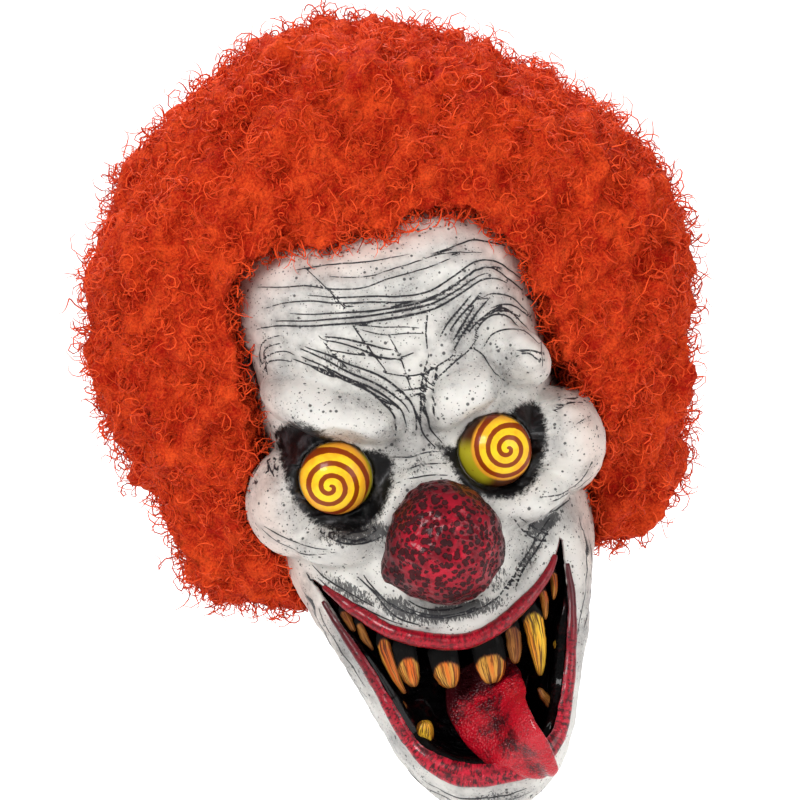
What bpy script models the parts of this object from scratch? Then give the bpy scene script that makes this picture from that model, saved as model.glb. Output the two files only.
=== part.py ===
"""An overhead clown mask: a latex head with domed eyes, a ball nose, lips, teeth, a tongue and a curly wig.

Metres, +Z up, face towards -Y, +X to the right of somebody who looks at the face.
The origin is where the inside of the crown sits on the wearer's head.
"""

import math
from collections import namedtuple

import bmesh
import bpy
import numpy as np
from mathutils import Vector
from mathutils.bvhtree import BVHTree

# Latex head
LATEX_WALL = 0.0022
HEAD_HALF_WIDTH = 0.092
HEAD_FRONT = 0.098
HEAD_BACK = 0.100
CROWN_ABOVE_EYES = 0.150
CHIN_BELOW_EYES = 0.205
JAW_OFFSET = 0.012
RIM_SWEEP = 2.4
RING_ROUNDNESS = 2.5
EYE_LINE_Z = LATEX_WALL - CROWN_ABOVE_EYES

# Eyes
EYE_LEFT_X = -0.048
EYE_RIGHT_X = 0.043
EYE_LEFT_RISE = 0.002
EYE_RIGHT_RISE = 0.000
EYE_RADIUS = 0.0205
EYE_BULGE = 0.0150
EYE_WALL = 0.0016
EYE_SKIRT = 0.0080
SOCKET_BEHIND_FRONT = 0.0060
SOCKET_REACH = 0.0120
SOCKET_Y = SOCKET_BEHIND_FRONT - HEAD_FRONT

# Nose
NOSE_X = 0.0040
NOSE_BELOW_EYES = 0.0400
NOSE_HALF_WIDTH = 0.0325
NOSE_HALF_HEIGHT = 0.0355
NOSE_HALF_DEPTH = 0.0320
NOSE_SEAT_PROUD = 0.0060
NOSE_OVERHANG = 0.0120
NOSE_WALL = 0.0025
NOSE_HOLE_SHARE = 0.60
NOSE_WING_REACH = 0.0060
NOSE_WING_LOW = 0.40
NOSE_WING_SPREAD = 0.35
NOSE_TAPER = 0.16
NOSE_MIDDLE_SHARE = 0.50
NOSE_BEHIND_SHARE = 0.72
NOSE_Z = EYE_LINE_Z - NOSE_BELOW_EYES
NOSE_SEAT_Y = -(HEAD_FRONT + NOSE_SEAT_PROUD)

# Mouth
MOUTH_X = 0.0000
MOUTH_HALF_WIDTH = 0.0760
MOUTH_CORNER_BELOW_EYES = 0.0520
MOUTH_HEIGHT = 0.1280
MOUTH_DEPTH = 0.0380
LINING_WALL = 0.0018
LINING_SET_BACK = 0.0010
MOST_INSET_SHARE = 0.18
MOST_WALL_SHARE = 0.42
SHARPEST_CORNER = 0.09
GUM_REACH = 0.0055
ROOT_SINK = 0.40
ROOT_DEPTH_SHARE = 0.33
LIP_HALF_HEIGHT = 0.0046
LIP_PROUD = 0.0042
LOWER_LIP_SWELL = 0.60
LIP_END_SHARE = 0.30
TOOTH_DEPTH = 0.0075
TOOTH_LEAN = 0.35
TOOTH_BEND = 0.25
TONGUE_HALF_WIDTH = 0.0250
TONGUE_THICKNESS = 0.0090
TONGUE_GROOVE = 0.0020
MOUTH_CORNER_Z = EYE_LINE_Z - MOUTH_CORNER_BELOW_EYES
MOUTH_BACK_Y = MOUTH_DEPTH - HEAD_FRONT

# Wig
HAIR_BESIDE_HEAD = 0.085
HAIR_ABOVE_CROWN = 0.096
HAIR_BELOW_EYES = 0.080
HAIR_BEFORE_EARS = 0.082
HAIR_BEHIND_HEAD = 0.068
HAIR_SHIFT = 0.004
LOCK_HEIGHT = 0.010
LOCK_COUNT = 110
LOCK_OVERLAP = 0.56
LOCK_CENTRE_BACK = 0.30
LOCK_CENTRE_RISE = 0.45
FACE_OPENING_BACK = 0.024
FACE_OPENING_SPREAD = 1.16
HAIR_BOTTOM_Z = EYE_LINE_Z - HAIR_BELOW_EYES
HAIR_HEIGHT = LATEX_WALL + HAIR_ABOVE_CROWN - HAIR_BOTTOM_Z
HAIR_HALF_WIDTH = HEAD_HALF_WIDTH + HAIR_BESIDE_HEAD
HAIR_BACK = HEAD_BACK + HAIR_BEHIND_HEAD

# Gap between pieces that meet, and the wider one where facets of two pieces cross
PIECE_GAP = 0.0003
FACET_GAP = 0.0006

Ring = namedtuple("Ring", "front_z back_z half_width front back shift")
# Tilted rings of the latex head, crown to neck edge. Above the eye line front_z and back_z are shares of
# CROWN_ABOVE_EYES, below it of CHIN_BELOW_EYES; the rest are shares of HEAD_HALF_WIDTH, HEAD_FRONT,
# HEAD_BACK and JAW_OFFSET.
HEAD_RINGS = (
    Ring(1.000, 1.000, 0.00, 0.00, 0.00, 0.0),
    Ring(0.985, 0.988, 0.30, 0.30, 0.30, 0.0),
    Ring(0.940, 0.950, 0.58, 0.56, 0.56, 0.0),
    Ring(0.860, 0.880, 0.80, 0.77, 0.77, 0.0),
    Ring(0.740, 0.780, 0.935, 0.91, 0.90, 0.0),
    Ring(0.600, 0.670, 0.99, 0.975, 0.96, 0.0),
    Ring(0.450, 0.550, 1.00, 1.00, 1.00, 0.0),
    Ring(0.300, 0.430, 0.98, 1.00, 1.02, 0.0),
    Ring(0.150, 0.310, 0.97, 0.97, 1.02, 0.1),
    Ring(0.000, 0.190, 0.96, 0.94, 1.01, 0.3),
    Ring(-0.125, 0.070, 0.97, 0.94, 0.98, 0.3),
    Ring(-0.250, -0.040, 1.00, 0.98, 0.95, 0.3),
    Ring(-0.385, -0.130, 1.01, 1.04, 0.91, 0.4),
    Ring(-0.520, -0.220, 0.99, 1.09, 0.88, 0.6),
    Ring(-0.655, -0.300, 0.92, 1.13, 0.86, 0.7),
    Ring(-0.790, -0.370, 0.84, 1.15, 0.85, 0.8),
    Ring(-0.915, -0.420, 0.76, 1.13, 0.84, 0.8),
    Ring(-1.000, -0.450, 0.71, 0.98, 0.84, 0.8),
)

Lump = namedtuple("Lump", "name x y z long deep thick roll turn blend")
# Lumps of the sculpt, as tilted ellipsoids. x, long and thick are shares of HEAD_HALF_WIDTH, y, deep and
# blend of HEAD_FRONT, z of CROWN_ABOVE_EYES above the eye line; roll and turn are degrees.
LUMPS = (
    Lump("left_brow", -0.450, -0.80, 0.270, 0.470, 0.35, 0.185, -24.0, -24.0, 0.040),
    Lump("right_brow", 0.310, -0.86, 0.240, 0.300, 0.31, 0.185, 24.0, 14.0, 0.040),
    Lump("right_brow_end", 0.680, -0.68, 0.320, 0.235, 0.37, 0.175, -62.0, 20.0, 0.040),
    Lump("left_cheek", -0.840, -0.58, -0.090, 0.250, 0.36, 0.330, 0.0, 0.0, 0.060),
    Lump("right_cheek", 0.930, -0.58, -0.050, 0.255, 0.36, 0.330, 0.0, 0.0, 0.060),
    Lump("left_under_eye", -0.560, -0.78, -0.235, 0.330, 0.28, 0.150, -8.0, -20.0, 0.060),
    Lump("right_under_eye", 0.600, -0.78, -0.215, 0.330, 0.28, 0.155, 12.0, 20.0, 0.060),
    Lump("muzzle", 0.035, -0.52, -0.520, 0.620, 0.62, 0.260, 0.0, 0.0, 0.070),
)

Fold = namedtuple("Fold", "x z half_length sag width depth")
# Grooves across the forehead. x and half_length are shares of HEAD_HALF_WIDTH, z, sag and width of
# CROWN_ABOVE_EYES, depth of LATEX_WALL.
FOLDS = (
    Fold(0.02, 0.760, 0.75, 0.020, 0.030, 0.50),
    Fold(-0.04, 0.665, 0.80, 0.035, 0.030, 0.60),
    Fold(0.00, 0.560, 0.80, 0.050, 0.032, 0.70),
    Fold(0.00, 0.450, 0.55, 0.060, 0.028, 0.60),
)

EdgePoint = namedtuple("EdgePoint", "across drop")
# The mouth's cut. across is a share of MOUTH_HALF_WIDTH, drop one of MOUTH_HEIGHT below the corners.
UPPER_EDGE = (
    EdgePoint(-0.98, 0.010),
    EdgePoint(-0.80, 0.106),
    EdgePoint(-0.65, 0.193),
    EdgePoint(-0.38, 0.307),
    EdgePoint(0.00, 0.380),
    EdgePoint(0.26, 0.367),
    EdgePoint(0.53, 0.290),
    EdgePoint(0.80, 0.174),
    EdgePoint(0.98, 0.010),
)
LOWER_EDGE = (
    EdgePoint(0.98, 0.010),
    EdgePoint(0.95, 0.190),
    EdgePoint(0.93, 0.330),
    EdgePoint(0.88, 0.468),
    EdgePoint(0.81, 0.625),
    EdgePoint(0.73, 0.760),
    EdgePoint(0.62, 0.890),
    EdgePoint(0.43, 0.968),
    EdgePoint(0.14, 0.990),
    EdgePoint(-0.15, 0.960),
    EdgePoint(-0.36, 0.870),
    EdgePoint(-0.48, 0.750),
    EdgePoint(-0.57, 0.600),
    EdgePoint(-0.66, 0.450),
    EdgePoint(-0.775, 0.290),
    EdgePoint(-0.875, 0.155),
    EdgePoint(-0.98, 0.010),
)

LiningRow = namedtuple("LiningRow", "inset depth")
# The mouth lining's outside, front to back: inset in shares of GUM_REACH, depth in shares of the way back.
LINING_ROWS = (
    LiningRow(0.00, 0.01),
    LiningRow(0.00, 0.12),
    LiningRow(0.90, 0.20),
    LiningRow(1.00, 0.45),
    LiningRow(1.60, 0.78),
    LiningRow(3.00, 1.00),
)

ToothRow = namedtuple("ToothRow", "share width narrowing")
# Sections of every tooth, root to tip: share of its length, width in shares of the tooth's own, and how much
# of its point narrows it there.
TOOTH_ROWS = (
    ToothRow(0.00, 0.62, 0.00),
    ToothRow(0.35, 1.00, 0.00),
    ToothRow(0.75, 1.00, 0.35),
    ToothRow(1.00, 0.72, 0.60),
)

Tooth = namedtuple("Tooth", "along tip_across tip_drop width point")
# Teeth. along is the root's place on its edge, 0 to 1; the tip is in shares as the edges are; width is a
# share of MOUTH_HALF_WIDTH, and point is how much narrower the tip is.
UPPER_TEETH = (
    Tooth(0.190, -0.700, 0.290, 0.064, 0.5),
    Tooth(0.262, -0.595, 0.385, 0.058, 0.5),
    Tooth(0.338, -0.425, 0.600, 0.090, 0.7),
    Tooth(0.392, -0.345, 0.570, 0.150, 0.3),
    Tooth(0.478, -0.075, 0.605, 0.190, 0.3),
    Tooth(0.610, 0.235, 0.620, 0.205, 0.2),
    Tooth(0.700, 0.430, 0.555, 0.100, 0.3),
    Tooth(0.765, 0.600, 0.635, 0.140, 0.7),
    Tooth(0.825, 0.715, 0.395, 0.056, 0.5),
    Tooth(0.876, 0.805, 0.320, 0.054, 0.5),
)
LOWER_TEETH = (
    Tooth(0.215, 0.760, 0.530, 0.110, 0.4),
    Tooth(0.330, 0.570, 0.690, 0.070, 0.5),
    Tooth(0.640, -0.320, 0.730, 0.120, 0.3),
    Tooth(0.720, -0.440, 0.650, 0.095, 0.4),
)

TongueRow = namedtuple("TongueRow", "across drop depth proud half_width thickness")
# The tongue, root to tip: across and drop as the mouth's edges, depth in shares of the way back to the
# lining, proud in shares of what lifts it over the lip, half_width of TONGUE_HALF_WIDTH and thickness of
# TONGUE_THICKNESS.
TONGUE_ROWS = (
    TongueRow(0.12, 0.570, 0.880, 0.00, 0.68, 0.9),
    TongueRow(0.15, 0.640, 0.700, 0.00, 0.92, 1.2),
    TongueRow(0.18, 0.710, 0.450, 0.00, 1.00, 1.2),
    TongueRow(0.23, 0.790, 0.190, 0.10, 0.96, 1.1),
    TongueRow(0.30, 0.865, 0.000, 0.85, 0.86, 1.0),
    TongueRow(0.38, 0.935, 0.000, 1.10, 0.68, 0.9),
    TongueRow(0.46, 1.005, 0.000, 1.20, 0.42, 0.8),
    TongueRow(0.50, 1.040, 0.000, 1.05, 0.15, 0.5),
)

HairRing = namedtuple("HairRing", "level left right front back")
# Level rings of the wig, bottom to top. level is a share of HAIR_HEIGHT, left and right of HAIR_HALF_WIDTH,
# front of HAIR_BEFORE_EARS and back of HAIR_BACK.
HAIR_RINGS = (
    HairRing(0.000, 0.45, 0.45, 0.20, 0.45),
    HairRing(0.000, 0.70, 0.72, 0.45, 0.68),
    HairRing(0.060, 0.80, 0.83, 0.62, 0.78),
    HairRing(0.140, 0.84, 0.89, 0.75, 0.86),
    HairRing(0.240, 0.89, 0.93, 0.85, 0.93),
    HairRing(0.350, 0.97, 0.97, 0.93, 0.98),
    HairRing(0.460, 1.00, 1.00, 1.00, 1.00),
    HairRing(0.560, 0.97, 1.00, 1.04, 1.00),
    HairRing(0.650, 0.93, 0.94, 1.05, 0.96),
    HairRing(0.730, 0.86, 0.85, 1.02, 0.90),
    HairRing(0.800, 0.76, 0.71, 0.94, 0.80),
    HairRing(0.870, 0.62, 0.55, 0.80, 0.66),
    HairRing(0.930, 0.46, 0.38, 0.60, 0.48),
    HairRing(0.975, 0.32, 0.18, 0.36, 0.28),
    HairRing(1.000, 0.12, -0.04, 0.06, 0.06),
)

HairlinePoint = namedtuple("HairlinePoint", "across rise")
# The wig's opening round the face, up the left side and down the right. across is a share of
# HEAD_HALF_WIDTH, rise one of CROWN_ABOVE_EYES above the eye line.
HAIRLINE = (
    HairlinePoint(-0.86, -0.80),
    HairlinePoint(-0.88, -0.38),
    HairlinePoint(-0.98, -0.24),
    HairlinePoint(-1.02, -0.06),
    HairlinePoint(-0.94, 0.12),
    HairlinePoint(-0.91, 0.34),
    HairlinePoint(-0.94, 0.56),
    HairlinePoint(-0.97, 0.68),
    HairlinePoint(-0.86, 0.80),
    HairlinePoint(-0.60, 0.87),
    HairlinePoint(-0.30, 0.83),
    HairlinePoint(0.05, 0.85),
    HairlinePoint(0.40, 0.90),
    HairlinePoint(0.62, 0.85),
    HairlinePoint(0.78, 0.68),
    HairlinePoint(0.88, 0.50),
    HairlinePoint(0.96, 0.27),
    HairlinePoint(1.08, 0.06),
    HairlinePoint(1.10, -0.14),
    HairlinePoint(1.02, -0.28),
    HairlinePoint(1.02, -0.80),
)

# Facets
FACE_STEP_DEG = 7.2
NAPE_STEP_DEG = 18.0
FACE_EDGE_DEG = 102.0
HEAD_ROWS = 28
EYE_SIDES = 16
EYE_ROWS = 3
NOSE_SIDES = 16
NOSE_ROWS = 8
LIP_SIDES = 6
UPPER_LIP_STATIONS = 13
LOWER_LIP_STATIONS = 19
TOOTH_SIDES = 6
TONGUE_SIDES = 10
HAIR_SIDES = 36
HAIR_ROWS = 20


def smooth_at(values, place):
    """Catmull-Rom value of evenly spaced numbers at a fractional place."""
    values = np.asarray(values, float)
    place = np.clip(np.asarray(place, float), 0.0, len(values) - 1.0)
    first = np.minimum(place.astype(int), len(values) - 2)
    part = place - first
    before, a = values[np.maximum(first - 1, 0)], values[first]
    b, after = values[first + 1], values[np.minimum(first + 2, len(values) - 1)]
    cubic = part * (3 * (a - b) + after - before)
    return a + 0.5 * part * (b - before + part * (2 * before - 5 * a + 4 * b - after + cubic))


def column(table, name, place):
    """One named column of a table, read smoothly at a fractional row."""
    return smooth_at([getattr(row, name) for row in table], place)


def level_z(level):
    """Height of a ring's level: a share of the forehead above the eye line and of the face below it."""
    return EYE_LINE_Z + np.where(level > 0, level * CROWN_ABOVE_EYES, level * CHIN_BELOW_EYES)


def soft_max(a, b, blend):
    """The larger of two lengths, rounded where they are within blend of each other."""
    mix = np.clip(0.5 + 0.5 * (a - b) / blend, 0, 1)
    return b + (a - b) * mix + blend * mix * (1 - mix)


def round_reach(across, deep):
    """How far a ring reaches in a direction given as shares of its half sizes: rounder than a box."""
    return (np.abs(across) ** RING_ROUNDNESS + np.abs(deep) ** RING_ROUNDNESS) ** (-1 / RING_ROUNDNESS)


def lump_reach(lump, start, direction):
    """How far along each ray the lump's far side is, falling away quickly beside the lump."""
    roll, turn = math.radians(lump.roll), math.radians(lump.turn)
    level = np.array([math.cos(turn), math.sin(turn), 0])
    along = level * math.cos(roll) + np.array([0, 0, math.sin(roll)])
    up = np.array([0, 0, math.cos(roll)]) - level * math.sin(roll)
    out = np.cross(along, up)
    centre = np.array(
        [lump.x * HEAD_HALF_WIDTH, lump.y * HEAD_FRONT, EYE_LINE_Z + lump.z * CROWN_ABOVE_EYES]
    )
    half_sizes = (lump.long * HEAD_HALF_WIDTH, lump.deep * HEAD_FRONT, lump.thick * HEAD_HALF_WIDTH)
    axes = np.stack([axis / size for axis, size in zip((along, out, up), half_sizes)])
    offset = (start - centre) @ axes.T
    ray = direction @ axes.T
    square = (ray * ray).sum(-1)
    half = (offset * ray).sum(-1)
    rest = half * half - square * ((offset * offset).sum(-1) - 1)
    beside = np.sqrt(np.maximum(-rest, 0)) / square
    return (np.sqrt(np.maximum(rest, 0)) - half) / square - 2 * beside


def disc_weight(x, z, centre, half_sizes, reach):
    """1 inside an upright ellipse, fading to 0 over reach outside it."""
    away = np.hypot((x - centre[0]) / half_sizes[0], (z - centre[1]) / half_sizes[1]) - 1
    away = np.clip(away * min(half_sizes) / reach, 0, 1)
    return 1 - away * away * (3 - 2 * away)


def fold_depth(x, z):
    """How deep the forehead's grooves are at a place of the face."""
    depth = np.zeros_like(x)
    for fold in FOLDS:
        across = (x / HEAD_HALF_WIDTH - fold.x) / fold.half_length
        line = EYE_LINE_Z + CROWN_ABOVE_EYES * (fold.z + fold.sag * across * across)
        near = np.exp(-(((z - line) / (fold.width * CROWN_ABOVE_EYES)) ** 2))
        depth += fold.depth * LATEX_WALL * near * np.clip(1 - across * across, 0, 1)
    return depth


def eye_places():
    """(x, z) of the left and the right eye."""
    return (
        (EYE_LEFT_X, EYE_LINE_Z + EYE_LEFT_RISE),
        (EYE_RIGHT_X, EYE_LINE_Z + EYE_RIGHT_RISE),
    )


def press_seats(points):
    """Cuts the forehead's folds and presses the eye sockets and the nose's seat flat."""
    x, y, z = points[..., 0], points[..., 1], points[..., 2]
    facing = y < 0
    y = np.where(facing, y + fold_depth(x, z), y)
    for place in eye_places():
        weight = disc_weight(x, z, place, (EYE_RADIUS, EYE_RADIUS), SOCKET_REACH)
        y = np.where(facing, y + (SOCKET_Y - y) * weight, y)
    weight = disc_weight(x, z, (NOSE_X, NOSE_Z), (NOSE_HALF_WIDTH, NOSE_HALF_HEIGHT), NOSE_OVERHANG)
    y = np.where(facing, y + (NOSE_SEAT_Y - y) * weight, y)
    return np.stack([x, y, z], -1)


def head_points(angle, place):
    """Points of the latex head's outside: angle in radians from the face, place along HEAD_RINGS."""
    half_width = column(HEAD_RINGS, "half_width", place) * HEAD_HALF_WIDTH
    front = column(HEAD_RINGS, "front", place) * HEAD_FRONT
    back = column(HEAD_RINGS, "back", place) * HEAD_BACK
    middle = column(HEAD_RINGS, "shift", place) * JAW_OFFSET
    front_z = level_z(column(HEAD_RINGS, "front_z", place))
    back_z = level_z(column(HEAD_RINGS, "back_z", place))
    sine, cosine = np.sin(angle), -np.cos(angle)
    least = 1e-9
    depth = np.where(cosine < 0, front, back) + least
    reach = round_reach(sine / (half_width + least), cosine / depth)
    share = np.clip((reach * cosine + front) / (front + back + least), 0, 1)
    z = front_z + (back_z - front_z) * (1 - (1 - share) ** RIM_SWEEP)
    start = np.stack([middle, np.zeros_like(z), z], -1)
    direction = np.stack([sine, cosine, np.zeros_like(z)], -1)
    for lump in LUMPS:
        reach = soft_max(reach, lump_reach(lump, start, direction), lump.blend * HEAD_FRONT)
    return press_seats(start + direction * reach[..., None])


def head_grid():
    """Rings of points over the latex head, closer together on the face than at the back."""
    steps = round(FACE_EDGE_DEG / FACE_STEP_DEG)
    face = np.linspace(-FACE_EDGE_DEG, FACE_EDGE_DEG, 2 * steps + 1)
    rest = 360 - 2 * FACE_EDGE_DEG
    nape = FACE_EDGE_DEG + rest * np.arange(1, round(rest / NAPE_STEP_DEG)) / round(rest / NAPE_STEP_DEG)
    angles = np.radians(np.concatenate([face, nape]))
    places = np.linspace(0, len(HEAD_RINGS) - 1, HEAD_ROWS + 1)
    return head_points(*np.meshgrid(angles, places))


def smooth_path(table, count):
    """(x, z) of points along one edge of the mouth, read smoothly from its table."""
    place = np.linspace(0, len(table) - 1, count)
    x = MOUTH_X + MOUTH_HALF_WIDTH * column(table, "across", place)
    z = MOUTH_CORNER_Z - MOUTH_HEIGHT * column(table, "drop", place)
    return np.stack([x, z], -1)


def mouth_outline():
    """The mouth's cut as one closed outline, left corner over the upper edge to the right and back below."""
    upper = smooth_path(UPPER_EDGE, UPPER_LIP_STATIONS)
    lower = smooth_path(LOWER_EDGE, LOWER_LIP_STATIONS)
    return np.concatenate([upper, lower[1:-1]])


def inward_of(outline):
    """Unit vectors into a closed clockwise outline, one a point."""
    along = np.roll(outline, -1, axis=0) - np.roll(outline, 1, axis=0)
    along /= np.linalg.norm(along, axis=1)[:, None]
    return np.stack([along[:, 1], -along[:, 0]], -1)


def offset_way(outline):
    """The move at each point that carries both edges beside it inwards by a unit length."""
    edge = np.roll(outline, -1, axis=0) - outline
    after = np.stack([edge[:, 1], -edge[:, 0]], -1) / np.linalg.norm(edge, axis=1)[:, None]
    before = np.roll(after, 1, axis=0)
    alike = (before * after).sum(-1)
    return (before + after) / np.maximum(1 + alike, SHARPEST_CORNER)[:, None]


def room_across(outline):
    """How far a point of a closed outline, or one beside it, sees into it before it meets the far side."""
    inward = inward_of(outline)
    ends = np.roll(outline, -1, axis=0)
    edge = ends - outline
    room = np.full(len(outline), MOUTH_HEIGHT)
    for i, (point, way) in enumerate(zip(outline, inward)):
        cross = way[0] * edge[:, 1] - way[1] * edge[:, 0]
        cross = np.where(np.abs(cross) < 1e-12, 1e-12, cross)
        gap = outline - point
        far = (gap[:, 0] * edge[:, 1] - gap[:, 1] * edge[:, 0]) / cross
        share = (gap[:, 0] * way[1] - gap[:, 1] * way[0]) / cross
        met = (far > 1e-6) & (share >= 0) & (share <= 1)
        room[i] = min(room[i], far[met].min(initial=room[i]))
    return np.minimum(room, np.minimum(np.roll(room, 1), np.roll(room, -1)))


def inset_outline(outline, distance, wall=0.0, extra=0.0):
    """The outline moved inwards by distance and a wall, or less where it is narrow, and by extra everywhere."""
    room = room_across(outline)
    move = np.minimum(distance, MOST_INSET_SHARE * room)
    move = np.minimum(move + wall, MOST_WALL_SHARE * room) if wall else move
    return outline + inward_of(outline) * move[:, None] + offset_way(outline) * extra


def make_material(name, colour, roughness, metallic=0.0):
    material = bpy.data.materials.new(name)
    material.use_nodes = True
    shader = material.node_tree.nodes["Principled BSDF"]
    shader.inputs["Base Color"].default_value = (*colour, 1.0)
    shader.inputs["Roughness"].default_value = roughness
    shader.inputs["Metallic"].default_value = metallic
    return material


def loft(name, rings, material, cap_start=False, cap_end=False):
    """An object lofted through rings of points, which run anticlockwise as seen from the last one."""
    mesh = bpy.data.meshes.new(name)
    shape = bmesh.new()
    rows = [[shape.verts.new(point) for point in ring] for ring in np.asarray(rings, float)]
    for row, following in zip(rows, rows[1:]):
        for i, corner in enumerate(row):
            j = (i + 1) % len(row)
            shape.faces.new((corner, row[j], following[j]))
            shape.faces.new((corner, following[j], following[i]))
    if cap_start:
        shape.faces.new(rows[0][::-1])
    if cap_end:
        shape.faces.new(rows[-1])
    bmesh.ops.remove_doubles(shape, verts=shape.verts, dist=1e-6)
    if cap_start and cap_end:
        bmesh.ops.recalc_face_normals(shape, faces=shape.faces)
    shape.to_mesh(mesh)
    shape.free()
    mesh.shade_smooth()
    item = bpy.data.objects.new(name, mesh)
    item.data.materials.append(material)
    bpy.context.collection.objects.link(item)
    return item


def make_cutter(item):
    item.hide_render = True
    item.display_type = "WIRE"
    return item


def cut(item, cutter):
    modifier = item.modifiers.new(cutter.name, "BOOLEAN")
    modifier.operation = "DIFFERENCE"
    modifier.solver = "EXACT"
    modifier.object = cutter


def thicken(item, wall):
    modifier = item.modifiers.new("wall", "SOLIDIFY")
    modifier.thickness = wall
    modifier.offset = -1
    modifier.use_even_offset = False


def vertex_normals(rings):
    """Outward unit normals over a grid of rings that close on themselves."""
    around = np.roll(rings, -1, axis=1) - np.roll(rings, 1, axis=1)
    down = np.gradient(rings, axis=0)
    normal = np.cross(down, around)
    around_pole = np.linalg.norm(normal, axis=-1) < 1e-9
    normal[around_pole] = (0, 0, 1)
    return normal / np.linalg.norm(normal, axis=-1)[..., None]


class Face:
    """The latex head's outside, to seat other pieces on."""

    def __init__(self, rings):
        rows, sides = rings.shape[:2]
        points = [Vector(point) for point in rings.reshape(-1, 3)]
        number = np.arange(rows * sides).reshape(rows, sides)
        corners = (number[:-1], np.roll(number, -1, 1)[:-1], np.roll(number, -1, 1)[1:], number[1:])
        faces = np.stack(corners, -1).reshape(-1, 4).tolist()
        self.tree = BVHTree.FromPolygons(points, faces)

    def point_at(self, x, z):
        """The skin's foremost point at a place of the face."""
        hit = self.tree.ray_cast(Vector((x, -1, z)), Vector((0, 1, 0)))[0]
        if hit is None:
            hit = self.tree.find_nearest(Vector((x, -HEAD_FRONT, z)))[0]
        return hit


def make_head(rings, material):
    """The latex skin, before its holes are cut."""
    item = loft("latex_head", rings[:, ::-1], material)
    thicken(item, LATEX_WALL)
    return item


def make_clearance(rings, material):
    """A closed body a gap larger than the head, which trims what sits on the latex."""
    grown = rings + vertex_normals(rings) * FACET_GAP
    below = grown[-1:] - np.array([0, 0, HAIR_BELOW_EYES])
    closed = np.concatenate([grown, below])[:, ::-1]
    return make_cutter(loft("head_clearance", closed, material, False, True))


def prism(name, outline, front_y, back_y, material):
    """A closed body along Y between two planes over an (x, z) outline."""
    rings = [[(x, y, z) for x, z in outline] for y in (front_y, back_y)]
    return make_cutter(loft(name, rings, material, True, True))


def ellipse(centre, half_sizes, sides):
    """(x, z) points round an upright ellipse."""
    turn = np.arange(sides) * 2 * math.pi / sides
    return np.array(centre) + np.array(half_sizes) * np.stack([np.cos(turn), np.sin(turn)], -1)


def make_eye(name, place, material):
    """A hollow dome with a short skirt behind the latex."""
    rings = [
        [(x, SOCKET_Y + EYE_SKIRT, z) for x, z in ellipse(place, (EYE_RADIUS, EYE_RADIUS), EYE_SIDES)]
    ]
    for row in range(EYE_ROWS + 1):
        rise = row / EYE_ROWS * math.pi / 2
        radius = EYE_RADIUS * math.cos(rise)
        y = SOCKET_Y - EYE_BULGE * math.sin(rise)
        rings.append([(x, y, z) for x, z in ellipse(place, (radius, radius), EYE_SIDES)])
    item = loft(name, rings, material)
    thicken(item, EYE_WALL)
    return item


def make_nose(material, clearance):
    """A hollow ball with nostril wings, open at the back and trimmed to the face."""
    middle_y = NOSE_SEAT_Y - NOSE_MIDDLE_SHARE * NOSE_HALF_DEPTH
    last_lean = math.acos(-NOSE_BEHIND_SHARE)
    rings = []
    for row in range(NOSE_ROWS + 1):
        lean = last_lean * (1 - row / NOSE_ROWS)
        y = middle_y - NOSE_HALF_DEPTH * math.cos(lean)
        round_share = math.sin(lean)
        half_sizes = (NOSE_HALF_WIDTH * round_share, NOSE_HALF_HEIGHT * round_share)
        x, z = ellipse((0, 0), half_sizes, NOSE_SIDES).T
        side = np.abs(x) / NOSE_HALF_WIDTH
        low = -z / NOSE_HALF_HEIGHT
        wing = np.exp(-(((low - NOSE_WING_LOW) / NOSE_WING_SPREAD) ** 2)) * side**2 * round_share**6
        taper = 1 - NOSE_TAPER * np.clip(-low, 0, 1) ** 2
        x = x * taper + np.sign(x) * NOSE_WING_REACH * wing
        rings.append(np.stack([NOSE_X + x, np.full_like(x, y), NOSE_Z + z], -1))
    item = loft("nose", rings, material)
    thicken(item, NOSE_WALL)
    cut(item, clearance)
    return item


def lip_rings(path, face, swell, extra=0.0):
    """Rings of a roll along one edge of the mouth, thinner towards its ends and broader in its middle."""
    count = len(path)
    middle = np.array([face.point_at(x, z) for x, z in path])
    along = np.gradient(middle, axis=0)
    along /= np.linalg.norm(along, axis=1)[:, None]
    share = np.arange(count) / (count - 1)
    bow = np.clip(np.sin(math.pi * share), 0, 1)
    fullness = LIP_END_SHARE + (1 - LIP_END_SHARE) * np.sqrt(bow)
    breadth = fullness + swell * bow**8
    rings = []
    for centre, way, full, broad in zip(middle, along, fullness, breadth):
        flat = np.array([-way[2], 0, way[0]]) / math.hypot(way[0], way[2])
        out = np.cross(way, flat)
        out /= np.linalg.norm(out)
        turn = np.arange(LIP_SIDES) * 2 * math.pi / LIP_SIDES
        high = (LIP_HALF_HEIGHT * broad + extra) * np.cos(turn)
        proud = (LIP_PROUD * full + extra) * np.sin(turn)
        rings.append(centre + flat * high[:, None] + out * proud[:, None])
    return np.array(rings)


def make_lip(name, path, face, swell, material, clearance):
    item = loft(name, lip_rings(path, face, swell), material, True, True)
    cut(item, clearance)
    return item


def lining_rings(outline, face, grown=0.0):
    """The lining's wall as rings: its outside from the back to the cut edge, then its inside to the back."""
    rim_y = np.array([face.point_at(x, z)[1] for x, z in outline]) + LINING_SET_BACK
    outside = []
    inside = []
    for row in LINING_ROWS:
        y = rim_y + (MOUTH_BACK_Y - rim_y) * row.depth
        reach = row.inset * GUM_REACH
        outer = inset_outline(outline, reach, 0.0, PIECE_GAP - grown)
        inner = inset_outline(outline, reach, LINING_WALL + grown, PIECE_GAP)
        outside.append(np.stack([outer[:, 0], y, outer[:, 1]], -1))
        inside.append(np.stack([inner[:, 0], y, inner[:, 1]], -1))
    outside[0][:, 1] -= grown
    inside[0][:, 1] -= grown
    outside[-1][:, 1] += grown
    inside[-1][:, 1] -= LINING_WALL + grown
    return np.array(outside[::-1] + inside)


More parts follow.
